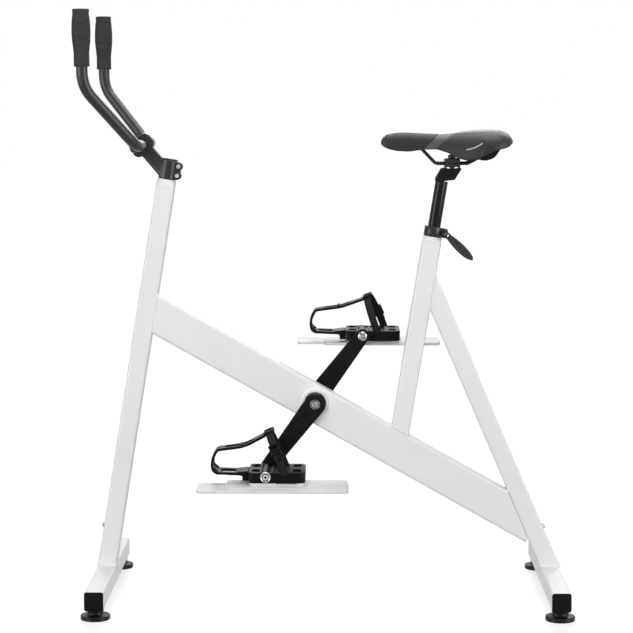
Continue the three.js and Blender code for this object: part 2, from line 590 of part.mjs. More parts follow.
function buildPedal(name, side) {
  const strapPlace = chain(shift(strap.foot, 0, 0), turnY(-strap.leanAngle));
  // The buckle sits on the outer run of the strap
  const loop = strapLoop().getPoints(200);
  const at = loop.findIndex(({ y }, index) => index > 0 && loop[index - 1].y < buckle.height && y >= buckle.height);
  const run = loop[at].clone().sub(loop[at - 1]);
  const buckleBlock = prism(roundedRectangle(buckle.width, buckle.alongLeg, buckle.depth / 3), buckle.depth, buckle.depth / 8);
  const buckleBody = solid(buckleBlock, turnX(quarterTurn), shift(0, side * buckle.outward, 0),
    turnX(side * Math.atan2(-run.x, run.y)), shift(0, side * loop[at].x, loop[at].y)).subtract(strapBody(weldGap));
  const place = chain(
    shift(side * crank.length * Math.sin(radians(crank.angle)), side * (pedalInner + pedalOuter) / 2,
      frame.axleHeight + side * crank.length * Math.cos(radians(crank.angle))),
  );
  return group(place,
    piece(`${name}_pedal`, blackPlastic, pedalBody(strapPlace)),
    piece(`${name}_toe_cage`, blackPlastic, cageBody(strapPlace)),
    piece(`${name}_strap`, webbing, strapBody(0), strapPlace),
    piece(`${name}_buckle`, blackPlastic, buckleBody, strapPlace),
    piece(`${name}_board`, whitePlastic, boardBody(), shift(0, side * board.outward, 0)));
}

// Stem and handlebar

const armPlace = chain(shift(0, 0, stem.armStart), turnY(stem.riseAngle - 90));
const barPlace = chain(armPlace, shift(0, 0, stem.reach));

function buildStem() {
  const barBore = solid(crossRod(handlebar.diameter + 2 * slideGap, -stem.barWidth, stem.barWidth), barPlace);
  const steererBore = solid(rod(stem.steerer + 2 * weldGap, stem.height + 2 * overrun), shift(0, 0, -overrun));
  const arm = prism(roundedRectangle(stem.armHeight, stem.armWidth, stem.armCorner), stem.reach)
    .translate(0, 0, stem.reach / 2);
  const jaw = across(prism(roundedRectangle(stem.barHeight, stem.barDepth, stem.barCorner), stem.barWidth, stem.split));
  const lobes = [0, 1].map((level) => solid(
    crossRod(2 * stem.lobe, -stem.lobeWidth / 2, stem.lobeWidth / 2),
    shift(stem.lobeReach, 0, stem.lobeStart + level * stem.lobeSpread),
  ));
  const web = blockBetween(0, stem.lobeReach + stem.lobe / 2, -stem.lobeWidth / 2, stem.lobeWidth / 2,
    stem.lobeStart - stem.lobe, stem.lobeStart + stem.lobeSpread + stem.lobe);
  const slit = blockBetween(0, stem.lobeReach + 2 * stem.lobe, -stem.slit / 2, stem.slit / 2, -overrun, stem.height + overrun);
  const jawSplit = stem.reach - stem.split / 2;
  const front = blockBetween(-stem.reach, stem.reach, -stem.reach, stem.reach, jawSplit, 2 * stem.reach);
  const rear = blockBetween(-stem.reach, stem.reach, -stem.reach, stem.reach, 0, stem.reach + stem.split / 2);
  const jawBody = solid(jaw, barPlace);

  const headSide = -stem.lobeWidth / 2;
  const pinchHole = solid(crossRod(stem.boltShank + 2 * weldGap, headSide - overrun, -headSide + overrun, smallSides))
    .add(solid(crossRod(stem.boltHead + 2 * weldGap, headSide - overrun, headSide + stem.boltHeadHeight)));
  const pinchBolt = solid(crossRod(stem.boltShank, headSide + stem.boltHeadHeight / 2, -headSide, smallSides))
    .add(solid(crossRod(stem.boltHead, headSide, headSide + stem.boltHeadHeight - weldGap)))
    .subtract(solid(crossRod(stem.boltHead / 2, headSide - overrun, headSide + stem.boltHeadHeight / 2, 6)));
  const pinchPlaces = [0, 1].map((level) => shift(stem.lobeReach, 0, stem.lobeStart + level * stem.lobeSpread));

  // The cap's two bolts stand along the arm, above and below the bar
  const headFace = stem.barDepth / 2;
  const capHole = solid(rod(stem.boltShank + 2 * weldGap, stem.barDepth + overrun, smallSides), shift(0, 0, -stem.barDepth / 2))
    .add(solid(rod(stem.boltHead + 2 * weldGap, stem.boltHeadHeight + overrun), shift(0, 0, headFace - stem.boltHeadHeight)));
  const capBolt = solid(rod(stem.boltShank, headFace + stem.barDepth / 3, smallSides), shift(0, 0, -stem.barDepth / 3))
    .add(solid(rod(stem.boltHead, stem.boltHeadHeight - weldGap), shift(0, 0, headFace - stem.boltHeadHeight + weldGap)))
    .subtract(solid(rod(stem.boltHead / 2, stem.boltHeadHeight, 6), shift(0, 0, headFace - stem.boltHeadHeight / 2)));
  const capPlaces = [-1, 1].map((up) => chain(barPlace, shift(up * stem.capBoltReach, 0, 0)));

  let stemBody = solid(rod(stem.clamp, stem.height)).add(solid(arm, armPlace)).add(solid(web))
    .add(lobes[0]).add(lobes[1]).add(jawBody)
    .subtract(solid(front, armPlace)).subtract(steererBore).subtract(barBore).subtract(solid(slit));
  const below = blockBetween(-stem.reach, stem.reach, -stem.reach, stem.reach, -stem.reach, 0);
  const capSize = stem.clamp - 2 * stem.split;
  const aboveClamp = rod(capSize + 2 * weldGap, stem.height).translate(0, 0, stem.height);
  stemBody = stemBody.subtract(solid(below)).subtract(solid(aboveClamp));
  let capBody = jawBody.subtract(solid(rear, armPlace)).subtract(barBore);
  pinchPlaces.forEach((place) => { stemBody = stemBody.subtract(pinchHole.transform(place.elements)); });
  capPlaces.forEach((place) => {
    stemBody = stemBody.subtract(capHole.transform(place.elements));
    capBody = capBody.subtract(capHole.transform(place.elements));
  });
  const topCap = rod(capSize, stem.capHeight).translate(0, 0, stem.height + weldGap);
  return group(stemPlace,
    piece('stem', blackMetal, stemBody),
    piece('stem_top_cap', blackPlastic, solid(topCap)),
    piece('lower_pinch_bolt', steel, pinchBolt, pinchPlaces[0]),
    piece('upper_pinch_bolt', steel, pinchBolt, pinchPlaces[1]),
    piece('bar_clamp_cap', blackMetal, capBody),
    piece('lower_cap_bolt', steel, capBolt, capPlaces[0]),
    piece('upper_cap_bolt', steel, capBolt, capPlaces[1]));
}

function buildHandlebar() {
  const half = (side) => [
    point3(-handlebar.gripBack, side * handlebar.gripSpread, handlebar.gripRise),
    point3(-handlebar.shoulderBack, side * handlebar.shoulderSpread, handlebar.shoulderRise),
    point3(0, side * handlebar.halfCentre, 0),
  ];
  const path = bentPath([...half(-1), ...half(1).reverse()],
    [handlebar.shoulderRadius, handlebar.elbowRadius, handlebar.elbowRadius, handlebar.shoulderRadius]);
  const section = circle(handlebar.diameter);
  const inside = circle(handlebar.diameter - 2 * handlebar.wall).getPoints(3);
  section.holes.push(new THREE.Path(inside.slice(1)));
  const tube = solid(sweep(section, path, 38, 8));

  const gripProfile = [
    [grip.foot / 2, 0], [grip.foot / 2, grip.rim], [grip.belly / 2 * 0.92, grip.length * 0.33],
    [grip.belly / 2, grip.length * 0.58], [grip.belly / 2 * 0.96, grip.length * 0.78],
    [grip.flange / 2, grip.length - grip.rim], [grip.flange / 3, grip.length], [0, grip.length],
  ];
  const boreDepth = grip.length - grip.cap;
  const gripBody = solid(turned([[0, 0], ...gripProfile]))
    .subtract(solid(rod(handlebar.diameter + 2 * slideGap, boreDepth + overrun), shift(0, 0, -overrun)));
  const gripPlace = (side) => {
    const [end, shoulder] = half(side);
    const up = end.clone().sub(shoulder).normalize();
    const start = end.clone().addScaledVector(up, weldGap - boreDepth);
    const turn = new THREE.Quaternion().setFromUnitVectors(point3(0, 0, 1), up);
    return new THREE.Matrix4().compose(start, turn, point3(1, 1, 1));
  };
  const level = chain(stemPlace, barPlace, turnY(90 - stem.riseAngle), turnY(-frame.mastAngle));
  return group(level,
    piece('handlebar', blackMetal, tube),
    piece('left_grip', gripRubber, gripBody, gripPlace(-1)),
    piece('right_grip', gripRubber, gripBody, gripPlace(1)));
}

// Seat post, its sleeve and collar, and the quick-release lever

function buildSeatClamp() {
  const bore = solid(rod(seatPost.diameter + 2 * slideGap, 2 * neck.plug + 2 * collar.height), shift(0, 0, -neck.plug - overrun));
  const sleeveTop = seatNeck + 2 * weldGap + collar.height;
  const slit = blockBetween(0, 2 * collar.lugReach, -collar.slit / 2, collar.slit / 2, seatNeck + weldGap, 2 * sleeveTop);
  const sleeve = squareToRound(seatNeck).add(solid(rod(collar.sleeve, sleeveTop))).subtract(bore).subtract(solid(slit));

  const ring = collar.sleeve + 2 * weldGap + 2 * collar.wall;
  const lug = across(prism(roundedRectangle(collar.lugReach, collar.height, collar.height / 4), collar.lugWidth, collar.wall / 4))
    .translate(collar.lugReach / 2, 0, collar.height / 2);
  const skewerHole = crossRod(skewer.diameter + 2 * slideGap, -collar.lugWidth, collar.lugWidth, smallSides)
    .translate(collar.skewerReach, 0, collar.height / 2);
  const collarBody = solid(rod(ring, collar.height)).add(solid(lug))
    .subtract(solid(rod(collar.sleeve + 2 * weldGap, collar.height + 2 * overrun), shift(0, 0, -overrun)))
    .subtract(solid(skewerHole))
    .subtract(solid(blockBetween(0, 2 * collar.lugReach, -collar.slit / 2, collar.slit / 2, -overrun, 2 * collar.height)));
  const collarPlace = chain(seatTop, shift(0, 0, seatNeck + 2 * weldGap));

  // The skewer ends in a cross pin, on which the lever's two cheeks turn
  const lugFace = collar.lugWidth / 2;
  const pinY = -(lugFace + weldGap + lever.cam / 2);
  const leverTurn = turnY(90 + lever.slopeAngle - frame.mastAngle);
  const skewerPlace = chain(collarPlace, shift(collar.skewerReach, 0, collar.height / 2), leverTurn);
  const halfPin = lever.slot / 2 + lever.cheek;
  const pin = rod(skewer.diameter, 2 * halfPin, smallSides).translate(0, 0, -halfPin).rotateY(quarterTurn);
  const skewerBody = solid(crossRod(skewer.diameter, pinY, lugFace + skewer.nutHeight, smallSides))
    .add(solid(pin, shift(0, pinY, 0)))
    .add(solid(crossRod(skewer.nut, lugFace + weldGap, lugFace + skewer.nutHeight, smallSides)));

  const leafStart = lever.cam * 0.4;
  const widest = lever.length * 0.62;
  const leaf = new THREE.Shape();
  leaf.moveTo(-lever.neck / 2, leafStart);
  leaf.lineTo(lever.neck / 2, leafStart);
  leaf.quadraticCurveTo(lever.width / 2, lever.length * 0.3, lever.width / 2, widest);
  leaf.quadraticCurveTo(lever.width / 2, lever.length * 0.97, lever.width * 0.08, lever.length);
  leaf.quadraticCurveTo(-lever.width * 0.3, lever.length * 0.99, -lever.width / 2, widest);
  leaf.quadraticCurveTo(-lever.width / 2, lever.length * 0.3, -lever.neck / 2, leafStart);
  const cheeks = rod(lever.cam, 2 * halfPin, smallSides).translate(0, 0, -halfPin).rotateY(quarterTurn);
  const slot = blockBetween(-lever.slot / 2, lever.slot / 2, -lever.cam, lever.cam, -lever.cam, lever.cam / 2 + weldGap);
  const leafBody = across(prism(leaf, lever.thickness, lever.thickness / 5, 8));
  const leverBody = solid(leafBody).add(solid(cheeks)).subtract(solid(slot))
    .subtract(solid(rod(skewer.diameter + 2 * slideGap, 4 * halfPin, smallSides).translate(0, 0, -2 * halfPin).rotateY(quarterTurn)));
  return [
    piece('seat_sleeve', whitePaint, sleeve, seatTop),
    piece('seat_collar', blackMetal, collarBody, collarPlace),
    piece('collar_skewer', steel, skewerBody, skewerPlace),
    piece('quick_release_lever', greyPlastic, leverBody, chain(skewerPlace, shift(0, pinY, 0))),
  ];
}

// The saddle clamp's own level frame stands where the post's axis meets its head
const headPlace = chain(seatTop, shift(0, 0, seatPost.showing), turnY(-frame.mastAngle));
const clampPlace = chain(headPlace, shift(seatPost.setback, 0, clamp.railHeight));
const tiltCentre = clamp.tiltRadius + seatPost.headTop - clamp.dish - clamp.railHeight;

function buildSeatPost() {
  const bottom = seatPost.wall - seatPost.insertion;
  const tube = rod(seatPost.diameter, seatPost.insertion + seatPost.showing + seatPost.wall).translate(0, 0, -seatPost.insertion);
  const bore = rod(seatPost.diameter - 2 * seatPost.wall, seatPost.insertion + seatPost.showing - seatPost.diameter)
    .translate(0, 0, bottom - overrun);
  const { headBase, headTop } = seatPost;
  const outline = new THREE.Shape([
    point2(-seatPost.headFront, -headBase), point2(seatPost.headBaseRear, -headBase),
    point2(seatPost.headTopRear, headTop), point2(-seatPost.headTopFront, headTop),
  ]);
  const level = chain(shift(0, 0, seatPost.showing), turnY(-frame.mastAngle));
  const toClamp = chain(level, shift(seatPost.setback, 0, clamp.railHeight));
  const dish = crossRod(2 * clamp.tiltRadius, -seatPost.headWidth, seatPost.headWidth, 96).translate(0, 0, tiltCentre);
  const swing = (clamp.tiltRadius + clamp.boltBelow) * Math.sin(radians(clamp.tiltAngle)) + clamp.bolt / 2 + 2 * slideGap;
  const floorZ = headTop - clamp.dish - clamp.boltBelow - 2 * slideGap - clamp.railHeight;
  const slot = blockBetween(-swing, swing, -clamp.bolt / 2 - slideGap, clamp.bolt / 2 + slideGap, floorZ, clamp.top);
  const body = solid(tube).add(solid(across(prism(outline, seatPost.headWidth, seatPost.wall / 2)), level))
    .subtract(solid(bore)).subtract(solid(dish, toClamp)).subtract(solid(slot, toClamp));
  return piece('seat_post', blackMetal, body, seatTop);
}

function railPath() {
  const half = (side) => [
    point3(rails.tailReach, side * rails.tailSpread, rails.tailRise), point3(rails.levelRear, side * rails.spread, 0),
    point3(-rails.levelFront, side * rails.spread, 0), point3(-rails.noseReach, side * rails.noseSpread, rails.noseRise),
    point3(-rails.noseEnd, side * rails.noseSpread, rails.noseRise + rails.diameter / 3),
  ];
  const { bend, noseSpread } = rails;
  const radii = [bend, bend, bend, noseSpread * 0.8];
  return bentPath([...half(-1), ...half(1).reverse()], [...radii, ...radii.reverse()]);
}

const railBody = (clearance) => solid(sweep(circle(rails.diameter + 2 * clearance), railPath(), 38, 4));

function buildSaddleClamp() {
  const halfLength = clamp.length / 2;
  const dishZ = seatPost.headTop - clamp.dish - clamp.railHeight;
  const grooves = railBody(weldGap);
  const boltHole = solid(rod(clamp.bolt + 2 * weldGap, 4 * clamp.railHeight), shift(0, 0, -2 * clamp.railHeight));
  const cradleBlock = blockBetween(-halfLength, halfLength, -clamp.spread / 2, clamp.spread / 2, dishZ, -weldGap);
  const underside = solid(crossRod(2 * (clamp.tiltRadius - slideGap), -clamp.spread, clamp.spread, 96).translate(0, 0, tiltCentre));
  const archAt = (x) => blockBetween(x - clamp.arch, x + clamp.arch, -clamp.spread, clamp.spread, dishZ, dishZ + clamp.arch);
  const cradle = solid(cradleBlock).intersect(underside).subtract(solid(archAt(-halfLength / 2)))
    .subtract(solid(archAt(halfLength / 2))).subtract(grooves).subtract(boltHole);
  const plateForm = across(prism(roundedRectangle(clamp.length, clamp.top - weldGap, clamp.arch / 2), clamp.spread, clamp.arch / 4))
    .translate(0, 0, (clamp.top + weldGap) / 2);
  const plate = solid(plateForm).subtract(grooves).subtract(boltHole);
  const boltBottom = dishZ - clamp.boltBelow;
  const boltLength = clamp.top + weldGap + clamp.nutHeight / 2 - boltBottom;
  const bolt = solid(rod(clamp.bolt, boltLength, smallSides), shift(0, 0, boltBottom))
    .add(solid(rod(clamp.nut, clamp.nutHeight, 8), shift(0, 0, clamp.top + weldGap)))
    .subtract(solid(rod(clamp.nut / 2, clamp.nutHeight, 6), shift(0, 0, clamp.top + weldGap + clamp.nutHeight / 2)));
  return group(clampPlace,
    piece('clamp_cradle', blackMetal, cradle),
    piece('clamp_plate', blackMetal, plate),
    piece('clamp_bolt', blackMetal, bolt));
}

// The saddle: rows of [along, half width, top, skirt], as shares of its length, half width and height
const saddleShares = [
  [0.000, 0.17, 0.60, 0.52], [0.015, 0.24, 0.73, 0.45], [0.05, 0.30, 0.83, 0.38], [0.11, 0.33, 0.875, 0.31],
  [0.20, 0.335, 0.86, 0.275], [0.31, 0.36, 0.835, 0.34], [0.42, 0.43, 0.84, 0.355], [0.51, 0.54, 0.875, 0.25],
  [0.59, 0.68, 0.92, 0.09], [0.66, 0.81, 0.955, 0.0], [0.72, 0.91, 0.978, 0.03], [0.78, 0.98, 0.992, 0.17],
  [0.85, 1.0, 1.0, 0.36], [0.90, 0.95, 0.975, 0.41], [0.95, 0.82, 0.88, 0.44], [0.98, 0.66, 0.76, 0.48], [1.0, 0.48, 0.63, 0.53],
];

// The saddle's outer form, or one inside it, with its skirt edge lowered for a cutter
function saddleForm(inset, padShare, drop, lower) {
  const { length, width, height, aboveRails, noseReach } = saddle;
  const ringSteps = 10;
  const places = [];
  const middle = length / 2 - noseReach;
  saddleShares.forEach(([along, wide, top, skirt]) => {
    const x = middle + (along - 0.5) * (length - 2 * inset);
    const halfWidth = wide * width / 2 - inset;
    const skirtZ = aboveRails + skirt * height;
    const crownHeight = (top - skirt) * height * (1 - padShare) - drop;
    if (lower > 0) places.push(x, halfWidth, skirtZ - lower);
    for (let step = 0; step <= ringSteps; step += 1) {
      const angle = Math.PI * step / ringSteps;
      const y = Math.sign(Math.cos(angle)) * Math.abs(Math.cos(angle)) ** 0.8 * halfWidth;
      places.push(x, y, skirtZ + Math.abs(Math.sin(angle)) ** 0.8 * crownHeight);
    }
    if (lower > 0) places.push(x, -halfWidth, skirtZ - lower);
  });
  const ring = places.length / 3 / saddleShares.length;
  const corners = [];
  for (let row = 0; row < saddleShares.length - 1; row += 1) {
    for (let step = 0; step < ring; step += 1) {
      const a = row * ring + step;
      const b = row * ring + (step + 1) % ring;
      corners.push(a, b, a + ring, b, b + ring, a + ring);
    }
  }
  const last = (saddleShares.length - 1) * ring;
  for (let step = 1; step < ring - 1; step += 1) {
    corners.push(0, step + 1, step, last, last + step, last + step + 1);
  }
  const geometry = new THREE.BufferGeometry();
  geometry.setAttribute('position', new THREE.Float32BufferAttribute(places, 3));
  geometry.setIndex(corners);
  return geometry;
}

function buildSaddle() {
  const { skin, padShare, base, housingFront, housingRear, housingDrop, housingWidth, aboveRails, height } = saddle;
  const coverBody = solid(saddleForm(0, 0, 0, 0)).subtract(solid(saddleForm(skin, padShare, 0, overrun)));
  const within = solid(saddleForm(skin + weldGap, padShare, weldGap, 0));
  const tray = within.subtract(solid(saddleForm(skin + base, padShare, base, overrun)));
  // A housing under the tail and a block under the nose hold the ends of the rails
  const housing = new THREE.Shape();
  housing.moveTo(housingFront, housingDrop);
  housing.quadraticCurveTo(housingRear, housingDrop, housingRear, height * 0.42);
  housing.lineTo(housingRear, height);
  housing.lineTo(housingFront, height);
  const housingBody = solid(across(prism(housing, housingWidth, base / 2, 6)))
    .intersect(solid(saddleForm(skin + weldGap, padShare, weldGap, height)));
  const noseX = -rails.noseEnd;
  const noseBlock = solid(blockBetween(noseX - saddle.noseBlock / 2, noseX + saddle.noseBlock, -saddle.noseBlock * 0.6,
    saddle.noseBlock * 0.6, aboveRails, 2 * height)).intersect(within);
  const baseBody = tray.add(housingBody).add(noseBlock).subtract(railBody(weldGap));
  return group(clampPlace,
    piece('saddle_cover', saddleSkin, coverBody),
    piece('saddle_base', blackPlastic, baseBody),
    piece('saddle_rails', blackMetal, railBody(0)));
}

// The whole bike

const bike = new THREE.Group();
bike.add(
  ...buildFrame(), ...buildHead(), ...buildBase('front', -frame.frontBarReach), ...buildBase('rear', frame.rearBarReach),
  ...buildBearings(), buildAxle(), ...buildCrank('left', -1), ...buildCrank('right', 1),
  buildPedal('left', -1), buildPedal('right', 1), buildStem(), buildHandlebar(),
  ...buildSeatClamp(), buildSeatPost(), buildSaddleClamp(), buildSaddle(),
);
const extent = new THREE.Box3().setFromObject(bike, true);
bike.position.x = -(extent.min.x + extent.max.x) / 2;

export default bike;
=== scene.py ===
"""The looks of the aqua bike: camera, light, finishes and the detailed pieces over its CAD frame."""
import json
import math

import bpy
from mathutils import Matrix, Vector


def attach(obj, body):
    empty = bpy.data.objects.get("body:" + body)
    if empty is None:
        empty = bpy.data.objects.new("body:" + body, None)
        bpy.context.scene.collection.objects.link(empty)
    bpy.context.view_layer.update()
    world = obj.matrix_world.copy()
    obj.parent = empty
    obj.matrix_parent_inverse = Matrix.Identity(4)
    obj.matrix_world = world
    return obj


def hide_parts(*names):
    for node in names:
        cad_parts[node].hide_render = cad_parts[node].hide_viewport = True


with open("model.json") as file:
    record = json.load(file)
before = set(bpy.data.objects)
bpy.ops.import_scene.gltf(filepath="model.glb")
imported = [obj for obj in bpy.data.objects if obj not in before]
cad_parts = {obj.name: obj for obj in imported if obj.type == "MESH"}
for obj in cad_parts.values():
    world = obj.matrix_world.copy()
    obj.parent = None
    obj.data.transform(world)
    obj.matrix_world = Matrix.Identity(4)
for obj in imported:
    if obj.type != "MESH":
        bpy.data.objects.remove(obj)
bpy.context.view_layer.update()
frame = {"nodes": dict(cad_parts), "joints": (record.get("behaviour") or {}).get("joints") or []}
MM = 0.001
SIDES = {"left": -1, "right": 1}
# Leans from upright in degrees: post and seat tube, rear leg, beam, cranks, and the stem's arm on the post
MAST_LEAN, LEG_LEAN, BEAM_LEAN, CRANK_LEAN = 9.15, -23.3, 119.4, 37
ARM_LEAN = -49.7
# The middle of the post's and the leg's lower ends: how far they stand from the axle, and their height
POST_FOOT, LEG_FOOT, FOOT_HEIGHT = -454.5, 510.5, 63
AXLE_HEIGHT = 424
# How far behind the axle the seat tube's middle line stands, at the axle's height
SEAT_FOOT = 194.5
# Half the widths of the square tube and the beam, and how far out the middle line of a weld's bead lies
TUBE_HALF, BEAM_HALF, WELD_OUT = 20, 40, 20.3
# Sines of the angles between post and beam, seat tube and leg, and beam and leg
BEAM_SINE, SEAT_LEG_SINE, BEAM_LEG_SINE = 0.9382, 0.5367, 0.606
# The floor bars' half length and middle height, and how far out the feet stand
BAR_HALF, BAR_MIDDLE, FOOT_OUT = 268, 43, 240
# Between a crank's axle centres, and from the bike's middle to a crank's outer face
CRANK_LENGTH, CRANK_FACE = 170, 60.3


# Places.

def joint_point(name):
    return Vector(next(joint["pos_m"] for joint in frame["joints"] if joint["name"] == name)) / MM


def at(x=0.0, y=0.0, z=0.0):
    return Matrix.Translation((x, y, z))


def lean(degrees):
    return Matrix.Rotation(math.radians(degrees), 4, "Y")


def turn(degrees, axis):
    return Matrix.Rotation(math.radians(degrees), 4, axis)


# An outline that is drawn flat stands in X-Z with UPRIGHT and in Y-Z with ACROSS
UPRIGHT = turn(90, "X")
ACROSS = turn(90, "Z") @ UPRIGHT

axle_point = joint_point("crank_spin")
bar_point = joint_point("handlebar_tilt")
seat_top = at(*joint_point("seat_height")) @ lean(MAST_LEAN)
clamp_place = at(*joint_point("saddle_slide"))
stem_place = at(*bar_point) @ lean(MAST_LEAN) @ at(62.54, 0, -63.04)
post_top = stem_place @ at(z=-18.6)
collar_place = seat_top @ at(z=11.6)
CENTRE_SHIFT = axle_point.x


# Camera

def aim_camera():
    pitch, yaw = math.radians(5.97), math.radians(-0.647)
    camera = bpy.data.objects.new("photo_camera", bpy.data.cameras.new("photo_camera"))
    bpy.context.scene.collection.objects.link(camera)
    camera.location = (0.05269 + CENTRE_SHIFT * MM, -4.45, 1.073)
    forward = Vector((math.sin(yaw) * math.cos(pitch), math.cos(yaw) * math.cos(pitch), -math.sin(pitch)))
    camera.rotation_euler = forward.to_track_quat("-Z", "Y").to_euler()
    camera.data.sensor_width = 36.0
    camera.data.lens = 2070 / 633 * 36
    camera.data.clip_end = 100
    bpy.context.scene.camera = camera


aim_camera()


# Finishes

class Link:
    """An output of a shader node that can stand in a sum."""

    def __init__(self, paint, socket):
        self.paint, self.socket = paint, socket

    def sum(self, operation, first, second):
        return self.paint.node("ShaderNodeMath", {"operation": operation}, {0: first, 1: second})

    def __add__(self, other):
        return self.sum("ADD", self, other)

    def __radd__(self, other):
        return self.sum("ADD", other, self)

    def __sub__(self, other):
        return self.sum("SUBTRACT", self, other)

    def __rsub__(self, other):
        return self.sum("SUBTRACT", other, self)

    def __mul__(self, other):
        return self.sum("MULTIPLY", self, other)

    def __rmul__(self, other):
        return self.sum("MULTIPLY", other, self)

    def above(self, edge):
        return self.sum("GREATER_THAN", self, edge)


class Paint:
    """A material: its shader, and the nodes that feed it."""

    def __init__(self, name, **plain):
        self.material = bpy.data.materials.new(name)
        self.material.use_nodes = True
        self.tree = self.material.node_tree
        self.shader = self.tree.nodes["Principled BSDF"]
        for socket, value in plain.items():
            self.shader.inputs[socket.replace("_", " ")].default_value = value

    def give(self, socket, value):
        if isinstance(value, Link):
            self.tree.links.new(value.socket, socket)
        else:
            socket.default_value = value

    def node(self, kind, settings, values, output=0):
        made = self.tree.nodes.new(kind)
        for key, value in settings.items():
            if key == "stops":
                ramp = made.color_ramp
                while len(ramp.elements) < len(value):
                    ramp.elements.new(0.5)
                for element, (position, colour) in zip(ramp.elements, value):
                    element.position, element.color = position, colour
            else:
                setattr(made, key, value)
        for key, value in values.items():
            self.give(made.inputs[key], value)
        return Link(self, made.outputs[output])

    def feed(self, socket, value):
        self.give(self.shader.inputs[socket], value)

    def where(self, scale=(1, 1, 1), turned=(0, 0, 0)):
        spot = self.node("ShaderNodeTexCoord", {}, {}, "Object")
        return self.node("ShaderNodeMapping", {}, {"Vector": spot, "Scale": scale, "Rotation": turned})

    def noise(self, scale, detail=3.0, place=None):
        values = {"Vector": place or self.where(), "Scale": scale, "Detail": detail}
        return self.node("ShaderNodeTexNoise", {}, values)

    def cells(self, scale, feature="F1", place=None):
        values = {"Vector": place or self.where(), "Scale": scale}
        return self.node("ShaderNodeTexVoronoi", {"feature": feature}, values)

    def mix(self, factor, first, second):
        return self.node("ShaderNodeMix", {"data_type": "RGBA"}, {0: factor, 6: first, 7: second}, 2)

    def shade(self, factor, stops):
        return self.node("ShaderNodeValToRGB", {"stops": stops}, {"Fac": factor})

    def relief(self, height, depth, strength=1.0):
        values = {"Height": height, "Distance": depth * MM, "Strength": strength}
        self.feed("Normal", self.node("ShaderNodeBump", {}, values))


def grey(value, tint=0.0):
    return (value, value, value * (1 + tint), 1)


def two_tone(paint, scale, dark, light, low=0.35, high=0.65):
    paint.feed("Base Color", paint.shade(paint.noise(scale), [(low, dark), (high, light)]))


def powder_coat():
    paint = Paint("white_powder_coat", Specular_IOR_Level=0.45, Coat_Roughness=0.18)
    two_tone(paint, 5, grey(0.795, 0.006), grey(0.82, 0.006))
    peel = paint.noise(420, 2.0)
    paint.feed("Roughness", 0.34 + 0.12 * paint.noise(30))
    paint.feed("Coat Weight", 0.12 + 0.1 * paint.noise(9))
    paint.relief(peel, 0.05)
    return paint.material


def satin_black(name, value, rough, speck=0.0, grain=260.0, depth=0.05, shine=0.3, vary=0.12):
    paint = Paint(name, Specular_IOR_Level=shine)
    fine = paint.noise(grain, 4.0)
    dark, light = grey(value * 0.8), grey(value * 1.3)
    base = paint.shade(paint.noise(22), [(0.3, dark), (0.7, light)])
    flecks = paint.noise(grain * 4, 1.0).above(0.66) * speck
    paint.feed("Base Color", paint.mix(flecks, base, grey(value * 5 + 0.05)))
    paint.feed("Roughness", rough + vary * (fine - 0.5))
    paint.relief(fine, depth)
    return paint.material


def bright_steel(name="bright_steel", dark=0.42, light=0.62, scale=40):
    paint = Paint(name, Metallic=1.0)
    two_tone(paint, scale, grey(dark, 0.02), grey(light, 0.02), 0.4, 0.6)
    scratches = paint.noise(120, 5.0, paint.where((1, 12, 1)))
    paint.feed("Roughness", 0.2 + 0.22 * scratches)
    paint.relief(scratches, 0.02)
    return paint.material


def board_plastic():
    paint = Paint("white_board_plastic", Specular_IOR_Level=0.14)
    two_tone(paint, 14, grey(0.69, 0.008), grey(0.73, 0.008))
    paint.feed("Roughness", 0.42 + 0.16 * paint.noise(60))
    paint.relief(paint.noise(18, 2.0), 0.1)
    return paint.material


def saddle_skin(name, value, rough):
    """Fine-grained skin: a paler band slants across each flank, and a bright slash lies behind it."""
    paint = Paint(name, Specular_IOR_Level=0.26, Sheen_Weight=0.08, Sheen_Roughness=0.35)
    pores = paint.cells(760, "DISTANCE_TO_EDGE")
    creases = paint.noise(260, 4.0)
    grain = pores.sum("MINIMUM", pores, 0.25) * 3 + creases * 0.5
    spot = paint.node("ShaderNodeTexCoord", {}, {}, "Object")
    along = paint.node("ShaderNodeSeparateXYZ", {}, {"Vector": spot}, "X")
    up = paint.node("ShaderNodeSeparateXYZ", {}, {"Vector": spot}, "Z")
    origin = clamp_place.translation * MM
    along, up = along - origin.x, up - origin.z

    def soft_step(value, edge, width):
        values = {"Value": value, "From Min": edge - width, "From Max": edge + width}
        return paint.node("ShaderNodeMapRange", {"interpolation_type": "SMOOTHSTEP"}, values)

    front = soft_step(along - up, -0.091, 0.0006)
    rear = soft_step(along - 1.195 * up, -0.0752, 0.0006)
    band = front * (1 - rear)
    behind = along - 0.0265
    slash_line = up - 0.0302 - behind * 0.1 - behind * behind * 9.0
    slash = 1 - soft_step(slash_line.sum("ABSOLUTE", slash_line, 0), 0.0011, 0.0004)
    slash = slash * soft_step(along, 0.0275, 0.0008) * (1 - soft_step(along, 0.0605, 0.0012))
    tone = grain + 0.2 * paint.noise(12)
    dark = paint.shade(tone, [(0.2, grey(value * 0.7)), (1.0, grey(value * 1.35))])
    pale = paint.shade(tone, [(0.2, grey(0.05)), (1.0, grey(0.076))])
    paint.feed("Base Color", paint.mix(slash, paint.mix(band, dark, pale), grey(0.5)))
    paint.feed("Roughness", rough + 0.18 * creases - 0.1 * band)
    paint.relief(grain, 0.1)
    return paint.material


